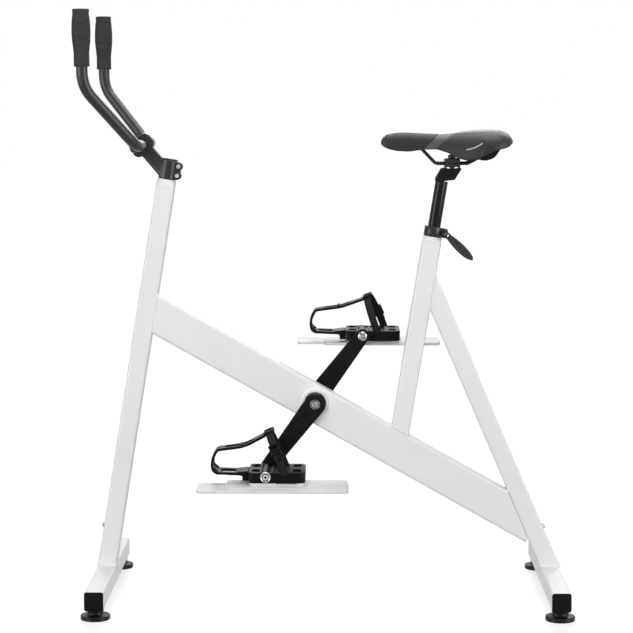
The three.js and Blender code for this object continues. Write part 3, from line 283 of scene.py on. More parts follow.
def strap_weave():
    paint = Paint("strap_weave", Specular_IOR_Level=0.12, Sheen_Weight=0.03)

    def wave(direction, scale):
        values = {"Vector": paint.where(), "Scale": scale, "Distortion": 0.6}
        return paint.node("ShaderNodeTexWave", {"bands_direction": direction}, values)

    weave = wave("Z", 260.0) * 0.6 + wave("X", 330.0) * 0.4
    paint.feed("Base Color", paint.shade(weave, [(0.2, grey(0.004)), (0.9, grey(0.013))]))
    paint.feed("Roughness", 0.62 + 0.2 * weave)
    paint.relief(weave, 0.12)
    return paint.material


def grip_foam():
    paint = Paint("grip_rubber", Specular_IOR_Level=0.12)
    dimples = paint.cells(620)
    tone = dimples + 0.3 * paint.noise(30)
    paint.feed("Base Color", paint.shade(tone, [(0.1, grey(0.022)), (0.9, grey(0.044))]))
    paint.feed("Roughness", 0.58 + 0.2 * dimples)
    paint.relief(dimples, 0.18)
    return paint.material


coats = {
    "white": powder_coat(),
    "anodised": satin_black("anodised_black", 0.013, 0.32, 0.0, 300, 0.02, 0.24, 0.05),
    "tube_black": satin_black("tube_black", 0.003, 0.2, 0.0, 60, 0.003, 0.15, 0.02),
    "bar_black": satin_black("bar_black", 0.009, 0.42, 0.0, 60, 0.004, 0.32, 0.03),
    "crank_black": satin_black("crank_black", 0.006, 0.5, 0.14, 340, 0.08, 0.06),
    "moulded": satin_black("moulded_black", 0.004, 0.42, 0.05, 300, 0.05, 0.07),
    "gloss_shell": satin_black("gloss_black_shell", 0.003, 0.2, 0.0, 60, 0.01, 0.15, 0.03),
    "foot_rubber": satin_black("foot_rubber", 0.004, 0.34, 0.0, 180, 0.04, 0.13, 0.1),
    "lever_grey": satin_black("lever_grey", 0.032, 0.42, 0.0, 260, 0.05, 0.14),
    "steel": bright_steel(),
    "dull_steel": bright_steel("dull_steel", 0.14, 0.42, 260),
    "pin_steel": satin_black("dull_pin", 0.18, 0.4, 0.0, 200, 0.02, 0.5),
    "board": board_plastic(),
    "skin": saddle_skin("saddle_skin", 0.008, 0.42),
    "weave": strap_weave(),
    "grip": grip_foam(),
    "rail": satin_black("rail_black", 0.004, 0.26, 0.0, 60, 0.004, 0.18, 0.03),
}


# Ways of making a piece

def only(piece):
    if bpy.context.object and bpy.context.object.mode != "OBJECT":
        bpy.ops.object.mode_set(mode="OBJECT")
    bpy.ops.object.select_all(action="DESELECT")
    piece.select_set(True)
    bpy.context.view_layer.objects.active = piece
    return piece


def all_edited(piece, *steps):
    """Runs edit-mode steps on the whole piece."""
    only(piece)
    bpy.ops.object.mode_set(mode="EDIT")
    bpy.ops.mesh.select_all(action="SELECT")
    for step in steps:
        step()
    bpy.ops.object.mode_set(mode="OBJECT")
    return piece


def face_out():
    bpy.ops.mesh.remove_doubles(threshold=0.002)
    bpy.ops.mesh.normals_make_consistent(inside=False)


def modify(piece, kind, **settings):
    only(piece)
    modifier = piece.modifiers.new(kind.lower(), kind)
    for key, value in settings.items():
        setattr(modifier, key, value)
    bpy.ops.object.modifier_apply(modifier=modifier.name)
    return piece


def round_edges(piece, width, segments=3, angle=40):
    return modify(piece, "BEVEL", width=width, segments=segments, limit_method="ANGLE",
                  angle_limit=math.radians(angle), use_clamp_overlap=True)


def place(piece, where):
    only(piece)
    piece.matrix_world = where @ piece.matrix_world
    bpy.ops.object.transform_apply(location=True, rotation=True, scale=True)
    return piece


def turned(profile, where=Matrix(), sides=64, hollow=False):
    """A round piece from [radius, height] pairs, bottom first; a hollow one comes back to its start."""
    radius, height = profile[0]
    bpy.ops.object.select_all(action="DESELECT")
    bpy.ops.mesh.primitive_circle_add(vertices=sides, radius=max(radius, 0.01), location=(0, 0, height),
                                      fill_type="NOTHING" if hollow else "NGON")
    piece = bpy.context.object
    bpy.ops.object.mode_set(mode="EDIT")
    bpy.ops.mesh.select_all(action="SELECT")
    for next_radius, next_height in profile[1:] + (profile[:1] if hollow else []):
        next_radius = max(next_radius, 0.01)
        bpy.ops.mesh.extrude_region_move(TRANSFORM_OT_translate={"value": (0, 0, next_height - height)})
        scale = next_radius / max(radius, 0.01)
        bpy.ops.transform.resize(value=(scale, scale, 1))
        radius, height = next_radius, next_height
    bpy.ops.mesh.select_all(action="SELECT")
    if hollow:
        bpy.ops.mesh.remove_doubles(threshold=0.002)
    bpy.ops.mesh.normals_make_consistent(inside=False)
    bpy.ops.object.mode_set(mode="OBJECT")
    return place(piece, where)


def arc(x, y, radius, start, end, steps=10):
    angles = [math.radians(start + (end - start) * step / steps) for step in range(steps + 1)]
    return [(x + radius * math.cos(angle), y + radius * math.sin(angle)) for angle in angles]


def round_box(width, height, corner, x=0.0, y=0.0):
    half_x, half_y = width / 2 - corner, height / 2 - corner
    return (arc(x + half_x, y + half_y, corner, 0, 90) + arc(x - half_x, y + half_y, corner, 90, 180)
            + arc(x - half_x, y - half_y, corner, 180, 270) + arc(x + half_x, y - half_y, corner, 270, 360))


def curve_piece(splines, dimensions, cyclic, **settings):
    curve = bpy.data.curves.new("drawn", "CURVE")
    curve.dimensions = dimensions
    for key, value in settings.items():
        setattr(curve, key, value)
    for spots in splines:
        line = curve.splines.new("POLY")
        line.points.add(len(spots) - 1)
        for point, spot in zip(line.points, spots):
            point.co = (*spot, *([0] * (3 - len(spot))), 1)
        line.use_cyclic_u = cyclic
    piece = bpy.data.objects.new("drawn", curve)
    bpy.context.scene.collection.objects.link(piece)
    only(piece)
    bpy.ops.object.convert(target="MESH")
    return bpy.context.object


def cut_out(outlines, depth, where=Matrix(), bevel=0.0, segments=3):
    """A flat piece, depth thick about z = 0, from an outline and any holes."""
    piece = curve_piece(outlines, "2D", True, fill_mode="BOTH", extrude=depth / 2)
    all_edited(piece, face_out, lambda: bpy.ops.mesh.dissolve_limited(angle_limit=0.001))
    if bevel:
        round_edges(piece, bevel, segments)
    return place(piece, where)


def slab(width, height, corner, depth, where=Matrix(), bevel=0.0, segments=3, x=0.0, y=0.0):
    """A block with round corners, depth thick about z = 0."""
    return cut_out([round_box(width, height, corner, x, y)], depth, where, bevel, segments)


def smooth_path(corners, radii, steps=8):
    """Straight runs between corners, with round bends."""
    corners = [Vector(corner) for corner in corners]
    path = [corners[0]]
    for index in range(1, len(corners) - 1):
        corner, radius = corners[index], radii[index - 1]
        before = (corners[index - 1] - corner).normalized()
        after = (corners[index + 1] - corner).normalized()
        run = radius / math.tan(before.angle(after) / 2)
        start, end = corner + before * run, corner + after * run
        for step in range(steps + 1):
            share = step / steps
            path.append(start * (1 - share) ** 2 + corner * 2 * share * (1 - share) + end * share ** 2)
    return path + [corners[-1]]


def bent_rod(path, diameter, where=Matrix(), cyclic=False, resolution=8):
    piece = curve_piece([path], "3D", cyclic, bevel_depth=diameter / 2, bevel_resolution=resolution,
                        use_fill_caps=True)
    all_edited(piece, face_out)
    return place(piece, where)


def flat_ribbon(centre, thickness, width, where=Matrix(), bevel=0.0, cyclic=False):
    """A strip of even thickness along a flat line; its width runs across the line's plane."""
    points = [Vector(spot) for spot in centre]
    count = len(points)
    sides = ([], [])
    for index, point in enumerate(points):
        back = points[index - 1] if cyclic or index else point
        ahead = points[(index + 1) % count] if cyclic or index < count - 1 else point
        normal = (ahead - back).normalized()
        normal = Vector((-normal.y, normal.x)) * thickness / 2
        sides[0].append(tuple(point + normal))
        sides[1].append(tuple(point - normal))
    outlines = [sides[0], sides[1]] if cyclic else [sides[0] + sides[1][::-1]]
    return cut_out(outlines, width, where, bevel)


def spline(points, steps=8, cyclic=False):
    """A smooth line through flat points."""
    points = [Vector(point) for point in points]
    count = len(points)
    spans = count if cyclic else count - 1
    line = []
    for index in range(spans):
        near = range(index - 1, index + 3)
        a, b, c, d = (points[k % count if cyclic else min(max(k, 0), count - 1)] for k in near)
        for step in range(steps):
            t = step / steps
            line.append(0.5 * ((2 * b) + (c - a) * t + (2 * a - 5 * b + 4 * c - d) * t ** 2
                               + (3 * b - a - 3 * c + d) * t ** 3))
    return line if cyclic else line + [points[-1]]


def cut(piece, *tools, operation="DIFFERENCE"):
    for tool in tools:
        modify(piece, "BOOLEAN", operation=operation, object=tool, solver="EXACT")
        bpy.data.objects.remove(tool)
    return piece


def join(*pieces):
    only(pieces[0])
    for piece in pieces[1:]:
        piece.select_set(True)
    bpy.ops.object.join()
    return bpy.context.object


def copied(piece):
    twin = piece.copy()
    twin.data = piece.data.copy()
    bpy.context.scene.collection.objects.link(twin)
    return twin


def finish(piece, name, body, coat, *nodes, smooth=35):
    """Scales a drawn piece to metres, names it, paints it and gives it to its body."""
    place(piece, Matrix.Scale(MM, 4))
    piece.name = piece.data.name = name
    only(piece)
    bpy.ops.object.shade_smooth_by_angle(angle=math.radians(smooth))
    piece.data.materials.clear()
    piece.data.materials.append(coats[coat])
    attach(piece, body)
    if nodes:
        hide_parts(*nodes)
    return piece


# The white frame

def frame_tube(node):
    """A tube of the frame, its facets merged and its long edges softened."""
    piece = bpy.data.objects.new(node, frame["nodes"][node].data.copy())
    bpy.context.scene.collection.objects.link(piece)
    all_edited(piece, lambda: bpy.ops.mesh.remove_doubles(threshold=0.00001),
               lambda: bpy.ops.mesh.dissolve_limited(angle_limit=0.002))
    place(piece, Matrix.Scale(1 / MM, 4))
    finish(piece, node + "_painted", "frame", "white", node, smooth=30)
    modify(piece, "WEIGHTED_NORMAL", keep_sharp=True, weight=80)
    return piece


def heading(degrees):
    """The way a leaning line runs in the X-Z plane."""
    return Vector((math.sin(math.radians(degrees)), math.cos(math.radians(degrees))))


def weld(name, point, direction, half_long, half_wide, cut_low=None):
    """A filled weld round a tube's end: a loop on the face it meets."""
    along = heading(direction)
    outline = round_box(2 * half_long, 2 * half_wide, 5.2)
    path = [Vector((point[0] + along.x * u, v, point[1] + along.y * u)) for u, v in outline
            if cut_low is None or u > cut_low]
    piece = bent_rod(path, 3.8, cyclic=cut_low is None, resolution=3)
    finish(piece, name, "frame", "white", smooth=60)


def meet(start, lean_a, other, lean_b):
    """Where two lines of the X-Z plane cross."""
    a, b = heading(lean_a), heading(lean_b)
    gap = Vector(other) - Vector(start)
    share = (gap.x * b.y - gap.y * b.x) / (a.x * b.y - a.y * b.x)
    return Vector(start) + a * share


def beside(start, degrees, distance):
    """A point moved square to a leaning line, to its rear or underside."""
    away = heading(degrees)
    return Vector(start) + Vector((away.y, -away.x)) * distance


def round_neck(height, neck):
    """The square tube's end drawn in to a round neck."""
    body = slab(40, 40, 5, height, at(z=height / 2), 0.6)
    half, thin = 20 * math.sqrt(2) - 5 * (math.sqrt(2) - 1), neck / 2
    cone = turned([(half + 0.8, -0.4), (half - 0.3, height * 0.12),
                   (thin + (half - thin) * 0.35, height * 0.72), (thin, height + 0.4)])
    return cut(body, cone, operation="INTERSECT")


def white_frame():
    for node in ("front_post", "main_beam", "seat_tube", "rear_leg", "front_bar", "rear_bar"):
        frame_tube(node)
    post = (CENTRE_SHIFT + POST_FOOT, FOOT_HEIGHT)
    leg = (CENTRE_SHIFT + LEG_FOOT, FOOT_HEIGHT)
    seat = (CENTRE_SHIFT + SEAT_FOOT, AXLE_HEIGHT)
    across_beam = heading(BEAM_LEAN - 90)
    beam = Vector((CENTRE_SHIFT, AXLE_HEIGHT)) - across_beam * 4
    spot = meet(beside(post, MAST_LEAN, WELD_OUT), MAST_LEAN, beam, BEAM_LEAN)
    weld("post_beam_weld", spot, MAST_LEAN, BEAM_HALF / BEAM_SINE, TUBE_HALF)
    top = beam + across_beam * (BEAM_HALF + 0.3)
    spot = meet(top, BEAM_LEAN, seat, MAST_LEAN)
    weld("seat_beam_weld", spot, BEAM_LEAN, TUBE_HALF / BEAM_SINE, TUBE_HALF)
    spot = meet(beside(seat, MAST_LEAN, WELD_OUT), MAST_LEAN, leg, LEG_LEAN)
    weld("leg_seat_weld", spot, MAST_LEAN, TUBE_HALF / SEAT_LEG_SINE, TUBE_HALF)
    spot = meet(beside(leg, LEG_LEAN, -WELD_OUT), LEG_LEAN, beam, BEAM_LEAN)
    weld("beam_leg_weld", spot, LEG_LEAN, BEAM_HALF / BEAM_LEG_SINE, TUBE_HALF, cut_low=-45)
    for name, end, degrees in (("post_foot_weld", post, MAST_LEAN), ("leg_foot_weld", leg, LEG_LEAN)):
        weld(name, (end[0], FOOT_HEIGHT + 0.3), 90, TUBE_HALF / math.cos(math.radians(degrees)), TUBE_HALF)
    finish(place(round_neck(18.3, 37), post_top), "post_head_painted", "frame", "white", "post_head",
           smooth=40)
    neck = round_neck(11.3, 37)
    cut(neck, turned([(13.95, -20), (13.95, 60)]))
    sleeve = turned([(13.95, 32.2), (14.2, 32.6), (15.7, 32.6), (16.2, 32.2), (16.2, 8), (13.95, 8),
                     (13.95, 32.2)])
    all_edited(sleeve, face_out)
    cut(sleeve, slab(30, 2.5, 0.4, 20.5, at(z=22.5), x=20))
    finish(place(join(neck, sleeve), seat_top), "seat_neck_painted", "frame", "white", "seat_sleeve",
           smooth=40)


def bars_and_feet():
    for end, reach in (("front", POST_FOOT), ("rear", LEG_FOOT)):
        x = CENTRE_SHIFT + reach
        for side, sign in SIDES.items():
            plate = slab(40, 40, 5, 2.2, at(z=1.2), 0.9)
            plug = slab(35, 35, 3.5, 8, at(z=-3.6))
            cap = place(join(plate, plug), at(x, sign * BAR_HALF, BAR_MIDDLE) @ turn(-90 * sign, "X"))
            finish(cap, f"{end}_{side}_end_cap", "frame", "moulded", f"{end}_{side}_cap")
            shape = [(28, 0), (30.2, 0.5), (31, 2), (31, 4.2), (30.3, 5), (30.3, 5.6), (31, 6.4), (31, 8.4),
                     (29.8, 9.7), (27, 10.2), (19.4, 10.6), (18.2, 11.4), (17.2, 14), (17.1, 18), (17.9, 21),
                     (18.4, 22.1), (18.2, 22.65)]
            foot = turned(shape, at(x, sign * FOOT_OUT, 0))
            finish(foot, f"{end}_{side}_rubber_foot", "frame", "foot_rubber", f"{end}_{side}_foot", smooth=50)


def small_bolts():
    for node, reach, degrees, face in (("post_bolt", POST_FOOT, MAST_LEAN, -1),
                                       ("leg_bolt", LEG_FOOT, LEG_LEAN, 1)):
        base = at(CENTRE_SHIFT + reach, 0, FOOT_HEIGHT) @ lean(degrees)
        spot = base @ at(20.3 * face, 0, 85) @ lean(90 * face)
        dome = turned([(6.2, 0), (6.5, 0.4), (6.5, 1.2), (6.1, 2.4), (5.0, 3.6), (3.4, 4.2), (2.6, 4.4),
                       (2.4, 4.0), (2.2, 2.6)], spot, 48)
        finish(dome, node + "_head", "frame", "dull_steel", node)


# The drive

def tapered(big, small, length):
    swing = math.degrees(math.asin((big - small) / 2 / length))
    return (arc(0, 0, big / 2, -swing, 180 + swing, 24)
            + arc(0, -length, small / 2, 180 + swing, 360 - swing, 18))


def hex_pocket(across, depth_from, depth_to):
    middle = at(z=(depth_from + depth_to) / 2)
    return cut_out([arc(0, 0, across / math.sqrt(3), 0, 300, 5)], depth_to - depth_from, middle)


def cap_screw(head, height, shank, length, socket):
    """A round-headed screw with a hexagon socket, its head's underside at z = 0."""
    wide, thin = head / 2, shank / 2
    shape = [(thin, -length), (thin, 0), (wide, 0), (wide, height - 0.6), (wide - 0.5, height),
             (0.01, height)]
    return cut(turned(shape, sides=48), hex_pocket(socket, height * 0.4, height + 2))


def circle(radius, height=0.0):
    angles = [math.pi * k / 32 for k in range(64)]
    return [Vector((radius * math.cos(angle), radius * math.sin(angle), height)) for angle in angles]


def crank(side, sign, arm_place):
    """An arm and its bolt, drawn with z out of the bike and its length along -y; the far one is turned."""
    face, drawn = CRANK_FACE, arm_place @ turn(-90 * sign, "X")
    down = turn(180, "Z") if sign > 0 else Matrix()
    arm = cut_out([tapered(45.6, 30, CRANK_LENGTH)], 18, at(z=face - 9), 2.4, 5)
    recess = turned([(11.2, face - 4), (11.2, face - 0.7), (12.2, face + 0.3), (12.2, face + 3)])
    panel = cut_out([[(-11.6, -34), (11.6, -34), (8.6, -132), (-8.6, -132)]], 5, at(z=face + 1.4), 2.4, 4)
    inner_panel = cut_out([[(-9.6, -36.4), (9.6, -36.4), (7, -129.6), (-7, -129.6)]], 1.2, at(z=face - 0.9),
                          0.5, 2)
    arm = join(cut(arm, recess, panel), inner_panel)
    finish(place(place(arm, down), drawn), f"{side}_crank_arm", "crankset", "crank_black", f"{side}_crank",
           smooth=40)
    bolt = place(cap_screw(14.8, 4.2, 8, 12, 8), at(z=face - 5.4))
    low, high = face - 3.9, face - 0.5
    collar = turned([(8.8, low), (8.8, high - 0.4), (9.1, high), (10.2, high), (10.6, high - 0.4),
                     (10.6, low)], hollow=True)
    seal = turned([(7.5, low), (8.7, low), (8.7, low + 1.5), (7.5, low + 1.5)], drawn, 48, hollow=True)
    finish(seal, f"{side}_crank_seal", "crankset", "foot_rubber")
    finish(place(join(bolt, collar), drawn), f"{side}_crank_screw", "crankset", "dull_steel",
           f"{side}_crank_bolt")


def pedal_axle(side, sign, arm_place):
    """The spindle, with its head inside the crank and its collar outside, and the ringed bolt at its end."""
    line = arm_place @ at(z=-CRANK_LENGTH) @ turn(-90 * sign, "X")
    axle = turned([(5.98, 42.0), (5.98, 180.4)], sides=40)
    head = turned([(0.01, 37.2), (6.2, 37.5), (8.6, 38.2), (10.2, 39.6), (10.5, 40.6), (10.5, 42.0),
                   (9.9, 42.2), (0.01, 42.2)], sides=48)
    cut(head, hex_pocket(8, 34, 39.6))
    collar = turned([(5.98, 60.7), (8.6, 60.7), (9, 61.1), (9, 65.5), (8.6, 65.9), (5.98, 65.9)], sides=48,
                    hollow=True)
    spindle = place(join(axle, head, collar), line)
    finish(spindle, f"{side}_pedal_spindle", "crankset", "dull_steel", f"{side}_pedal_axle")
    rim = turned([(8.3, 181), (10.6, 181), (11, 181.4), (11, 184.6), (10.4, 185.3), (8.9, 185.5),
                  (8.3, 185.1)], sides=56, hollow=True)
    middle = turned([(0.01, 181), (6.4, 181), (6.4, 184.7), (5.9, 185.2), (0.01, 185.2)], sides=48)
    cut(middle, hex_pocket(5.5, 183, 188))
    bolt = place(join(rim, middle), line)
    finish(bolt, f"{side}_ringed_bolt", "crankset", "steel", f"{side}_axle_end_bolt")
    # A black ring sunk between the bolt's rim and its middle: painted shade in the groove between them.
    dark = turned([(6.45, 181.1), (8.25, 181.1), (8.25, 183.6), (6.45, 183.6)], line, sides=48, hollow=True)
    finish(dark, f"{side}_bolt_groove_shade", "crankset", "foot_rubber")
    # A black disc at the floor of the middle's hex socket: painted shade in the socket.
    plug = turned([(0.01, 181.4), (2.7, 181.4), (2.7, 183.4), (0.01, 183.4)], line, sides=24)
    finish(plug, f"{side}_bolt_socket_shade", "crankset", "foot_rubber")


def drive():
    hub = at(*axle_point)
    shell = turned([(23.2, -35.4), (23.6, -36), (27.5, -36), (28, -35.5), (28, 35.5), (27.5, 36), (23.6, 36),
                    (23.2, 35.4)], hub @ UPRIGHT, hollow=True)
    finish(shell, "axle_shell_painted", "frame", "white", "bottom_bracket_shell")
    for side, sign in SIDES.items():
        outward = hub @ turn(-90 * sign, "X")
        rim = turned([(10.6, 35.2), (23, 35.2), (23, 36.1), (21.2, 36.2), (21.4, 36.7), (21.4, 39.2),
                      (20.7, 39.8), (18.6, 39.8), (18.2, 39.3), (14, 39.3), (13.6, 39.8), (10.6, 39.8)],
                     outward, hollow=True)
        finish(rim, f"{side}_bush_ring", "frame", "moulded", f"{side}_bush")
        bead = bent_rod(circle(28.6, 20.3), 3.6, outward, True, 3)
        finish(bead, f"{side}_shell_weld", "frame", "white", smooth=60)
        arm_place = hub @ lean(CRANK_LEAN + (180 if sign > 0 else 0))
        crank(side, sign, arm_place)
        pedal_axle(side, sign, arm_place)
    square = slab(14, 14, 1.5, 107, hub @ lean(CRANK_LEAN) @ UPRIGHT)
    round_part = turned([(10, -42), (10, 42)], hub @ UPRIGHT)
    finish(join(square, round_part), "steel_axle", "crankset", "steel", "crank_axle")


# Pedals

# The straps are soft, and the near one stands a little taller and straighter than the far one.
straps = {
    "left": {"lean": 22.6, "forward": 0.5, "rise": 10.5, "skew": 1, "buckle": 59.5},
    "right": {"lean": 21.5, "forward": 2.5, "rise": 3.5, "skew": 8, "buckle": 44},
}
STRAP_FOOT, STRAP_TALL = 42, 85


def strap_place(fit):
    return at(x=STRAP_FOOT + fit["forward"]) @ lean(-fit["lean"])


def strap_line(fit):
    side, tall = 59.3, 1 + fit["rise"] / STRAP_TALL
    half = [(0, 0), (side * 0.5, 0), (side * 0.86, 0), (side * 0.985, 4.2), (side, 13.6), (side, 32 * tall),
            (side * 0.78, 58 * tall), (side * 0.5, 76.5 * tall), (16, 84.2 * tall), (0, STRAP_TALL * tall)]
    return spline(half + [(-y, z) for y, z in half[1:-1]][::-1], 6, True)


def leg_spot(fit, sign, height):
    """A place on the strap's outer leg, whose z axis runs up the leg."""
    line = strap_line(fit)
    low, high = next((low, high) for low, high in zip(line, line[1:]) if low.y <= height < high.y)
    point = low.lerp(high, (height - low.y) / (high.y - low.y))
    swing = math.degrees(math.atan2(low.x - high.x, high.y - low.y))
    return strap_place(fit) @ at(0, sign * point.x, point.y) @ turn(sign * swing, "X")


def oval_rim(x, y):
    """The raised lip round an oval opening of the deck."""
    return cut_out([round_box(20.4, 29.4, 9, x=x, y=y), round_box(17, 26, 7.4, x=x, y=y)], 1.4, at(z=9.3),
                   0.4, 2)


def pedal_body():
    deck = slab(119, 114, 12, 22, at(z=-2), 1.2, 3, x=23.5)
    recess = slab(58, 98, 4, 8, at(z=9.6), 0.6, 2, x=20)
    holes = [slab(17, 26, 7.4, 40, x=x, y=y) for x in (-21, 66) for y in (-30, 30)]
    bore = turned([(6.4, -70), (6.4, 70)], UPRIGHT)
    cut(deck, recess, *holes, bore)
    barrel = turned([(6.4, -56.6), (9.4, -56.6), (10.1, -55.9), (10.1, 55.9), (9.4, 56.6), (6.4, 56.6)],
                    UPRIGHT, 48, hollow=True)
    ribs = [slab(3, 97, 1, 4, at(z=7.2), 0.5, x=x) for x in (-3, 15, 24, 33)]
    lips = [oval_rim(x, y) for x in (-21, 66) for y in (-30, 30)]
    treads = [slab(2.2, 14, 1, 1.2, at(z=9.4), 0.4, 2, x=x, y=y)
              for x in (-31, -11, 56, 76) for y in (-47, 47)]
    keepers = [slab(44, 3.9, 1.4, 13.4, at(z=-6.3), 0.6, 2, x=44, y=side * 58.9)
               for side in (-1, 1)]
    return join(deck, barrel, *ribs, *lips, *treads, *keepers)


def toe_cage(fit):
    ring_place = strap_place(fit) @ at(z=STRAP_TALL - 0.5 + fit["rise"])
    meeting = ring_place @ Vector((-9.8, 0, -2.6))
    centre = smooth_path([(-43, 1, 0), (-80, 2.2, 0), (-111.5, 3.4, 0), (-115, 30, 0), (-103, 50.5, 0),
                          (-45, 58.5, 0), (meeting.x, meeting.z, 0)], (30, 15, 40, 9, 90), 10)
    centre = [point.to_2d() for point in centre]
    strip = flat_ribbon(centre, 5.6, 60, UPRIGHT, 0.9)
    front = [(-30, -15), (30, -15), (30, 5), (27, 22), (19.5, 48), (19, 130), (-19, 130), (-19.5, 48),
             (-27, 22), (-30, 5)]
    cut(strip, cut_out([front], 400, ACROSS), operation="INTERSECT")
    nose_gap = slab(26, 22, 5, 40, at(x=-113) @ ACROSS, y=24.5)
    arch_gap = slab(62, 22, 7, 60, at(z=62), x=-57)
    floor_gap = slab(36, 34, 7, 30, at(z=2), x=-78)
    edge_groove = slab(34, 1.6, 0.7, 70, UPRIGHT @ turn(2, "Z"), x=-84, y=3.0)
    edge_core = slab(200, 56.4, 0.3, 80)
    cut(edge_groove, edge_core)
    cut(strip, nose_gap, arch_gap, floor_gap, edge_groove)
    webs = [cut_out([[(-112, 6), (-101, 5.6), (-101, 8.2), (-105, 10.4), (-108.4, 14.5), (-112, 16)]], 5,
                    at(y=y) @ UPRIGHT, 0.8, 2) for y in (-25, 25)]
    bracket = cut_out([[(-50, -13), (-36.3, -13), (-36.3, 6), (-39, 8), (-46, 7), (-62, 5.2), (-66, 3.0),
                        (-58, -1.0), (-50, -3.4)]], 56, UPRIGHT, 1.0)
    bump = slab(7, 26, 2, 3.2, at(x=-52, z=61.6) @ lean(-9), 0.8, 2)
    guide = cut_out([round_box(21.6, 44, 2), round_box(14.5, 36, 1)], 7.6, ring_place, 0.9, 2)
    return join(strip, *webs, bracket, bump, guide)


def strap(fit):
    return flat_ribbon(strap_line(fit), 2.0, 16, strap_place(fit) @ ACROSS, 0.5, True)


def strap_buckle(fit, sign):
    """A ladder buckle on the strap's outer leg, the strap's end under it, and ridges on the leg's inside."""
    body = cut_out([round_box(22, 22, 1.6), round_box(16.4, 5, 1, y=5.4)], 7.6, UPRIGHT, 0.8, 2)
    rim = slab(22.6, 1.8, 0.7, 9.4, at(y=sign * 0.8) @ UPRIGHT, 0.3, 2, y=11.2)
    bars = [slab(20, 2.4, 1, 2.4, at(y=sign * 4) @ UPRIGHT, 0.5, 2, y=y)
            for y in (-8.6, -3.6, 0.6)]
    tail = slab(15.4, 17, 1.2, 2, at(y=sign * 1.4) @ UPRIGHT, 0.4, 2, y=-16)
    buckle = place(join(body, rim, *bars, tail), leg_spot(fit, sign, fit["buckle"]) @ at(y=sign * 3))
    ridges = [place(slab(15.8, 1.5, 0.6, 1.8, at(y=-sign * 1.6) @ UPRIGHT, 0.3, 2),
                    leg_spot(fit, sign, height)) for height in range(14, int(fit["buckle"]) - 12, 4)]
    return join(buckle, *ridges)


def paddle_board(sign):
    """Two overlapping sheets: the outer one reaches further forward, and the inner one carries the pedal."""
    outer = slab(317.5, 97, 14, 5, at(z=-24.8), 1.6, 4, x=15.25, y=sign * 50.5)
    line = (arc(-74, -14, 10, 180, 270) + arc(162, -14, 10, 270, 360) + arc(160, 80, 12, 0, 80)
            + [(108, 97), (32, 67)] + arc(-74, 57, 10, 90, 180))
    inner = cut_out([[(x, sign * y) for x, y in line]], 6.2, at(z=-23.6), 1.2, 3)
    riser = slab(116, 88, 8, 8, at(z=-17.4), 1, 2, x=23.5, y=sign * 10)
    return join(outer, inner, riser)


def grip_profile():
    return [(12.3, 0.2), (15.4, 0), (16.0, 0.7), (16.05, 5), (16.0, 14), (16.02, 24), (16.1, 27.4),
            (15.5, 27.8), (15.5, 28.6), (16.2, 29.0), (16.9, 37), (17.8, 45.5), (18.6, 52), (19.05, 58),
            (19.4, 64.5), (19.5, 71), (19.4, 77.5), (19.05, 84), (18.65, 91), (18.2, 96.5), (17.55, 102),
            (16.9, 107), (16.75, 110), (17.3, 111.5), (17.35, 113.4), (17.1, 115), (16.2, 116.6), (14, 117),
            (5, 117)]


def grip_seams(spot):
    """Moulding lines: arches that cross low on the grip, and a bow under its top."""
    outer = [(radius + 2, height) for radius, height in grip_profile()[5:-5]]
    inner = [(radius - 0.9, height) for radius, height in grip_profile()[5:-5]]
    shell = turned(outer + inner[::-1], sides=72, hollow=True)
    planes = [slab(80, 80, 1, 1.7, at(z=height) @ turn(tilt, "X"))
              for height, tilt in ((50, 25), (50, -25), (97, 25))]
    bands = [cut(copied(shell), plane, operation="INTERSECT") for plane in planes]
    bpy.data.objects.remove(shell)
    return [place(band, spot) for band in bands]


def pedals():
    for side, sign in SIDES.items():
        base = at(*joint_point(f"{side}_pedal_spin"))
        body, fit = f"{side}_pedal", straps[side]
        finish(place(pedal_body(), base), f"{side}_pedal_body", body, "moulded", f"{side}_pedal")
        finish(place(toe_cage(fit), base), f"{side}_cage", body, "moulded", f"{side}_toe_cage", smooth=40)
        skew = base @ at(x=STRAP_FOOT) @ turn(-fit["skew"] * sign, "Z") @ at(x=-STRAP_FOOT)
        finish(place(strap(fit), skew), f"{side}_woven_strap", body, "weave", f"{side}_strap", smooth=50)
        finish(place(strap_buckle(fit, sign), skew), f"{side}_ladder_buckle", body, "moulded",
               f"{side}_buckle")
        finish(place(paddle_board(sign), base), f"{side}_paddle_board", body, "board", f"{side}_board",
               smooth=40)


# Stem and handlebar

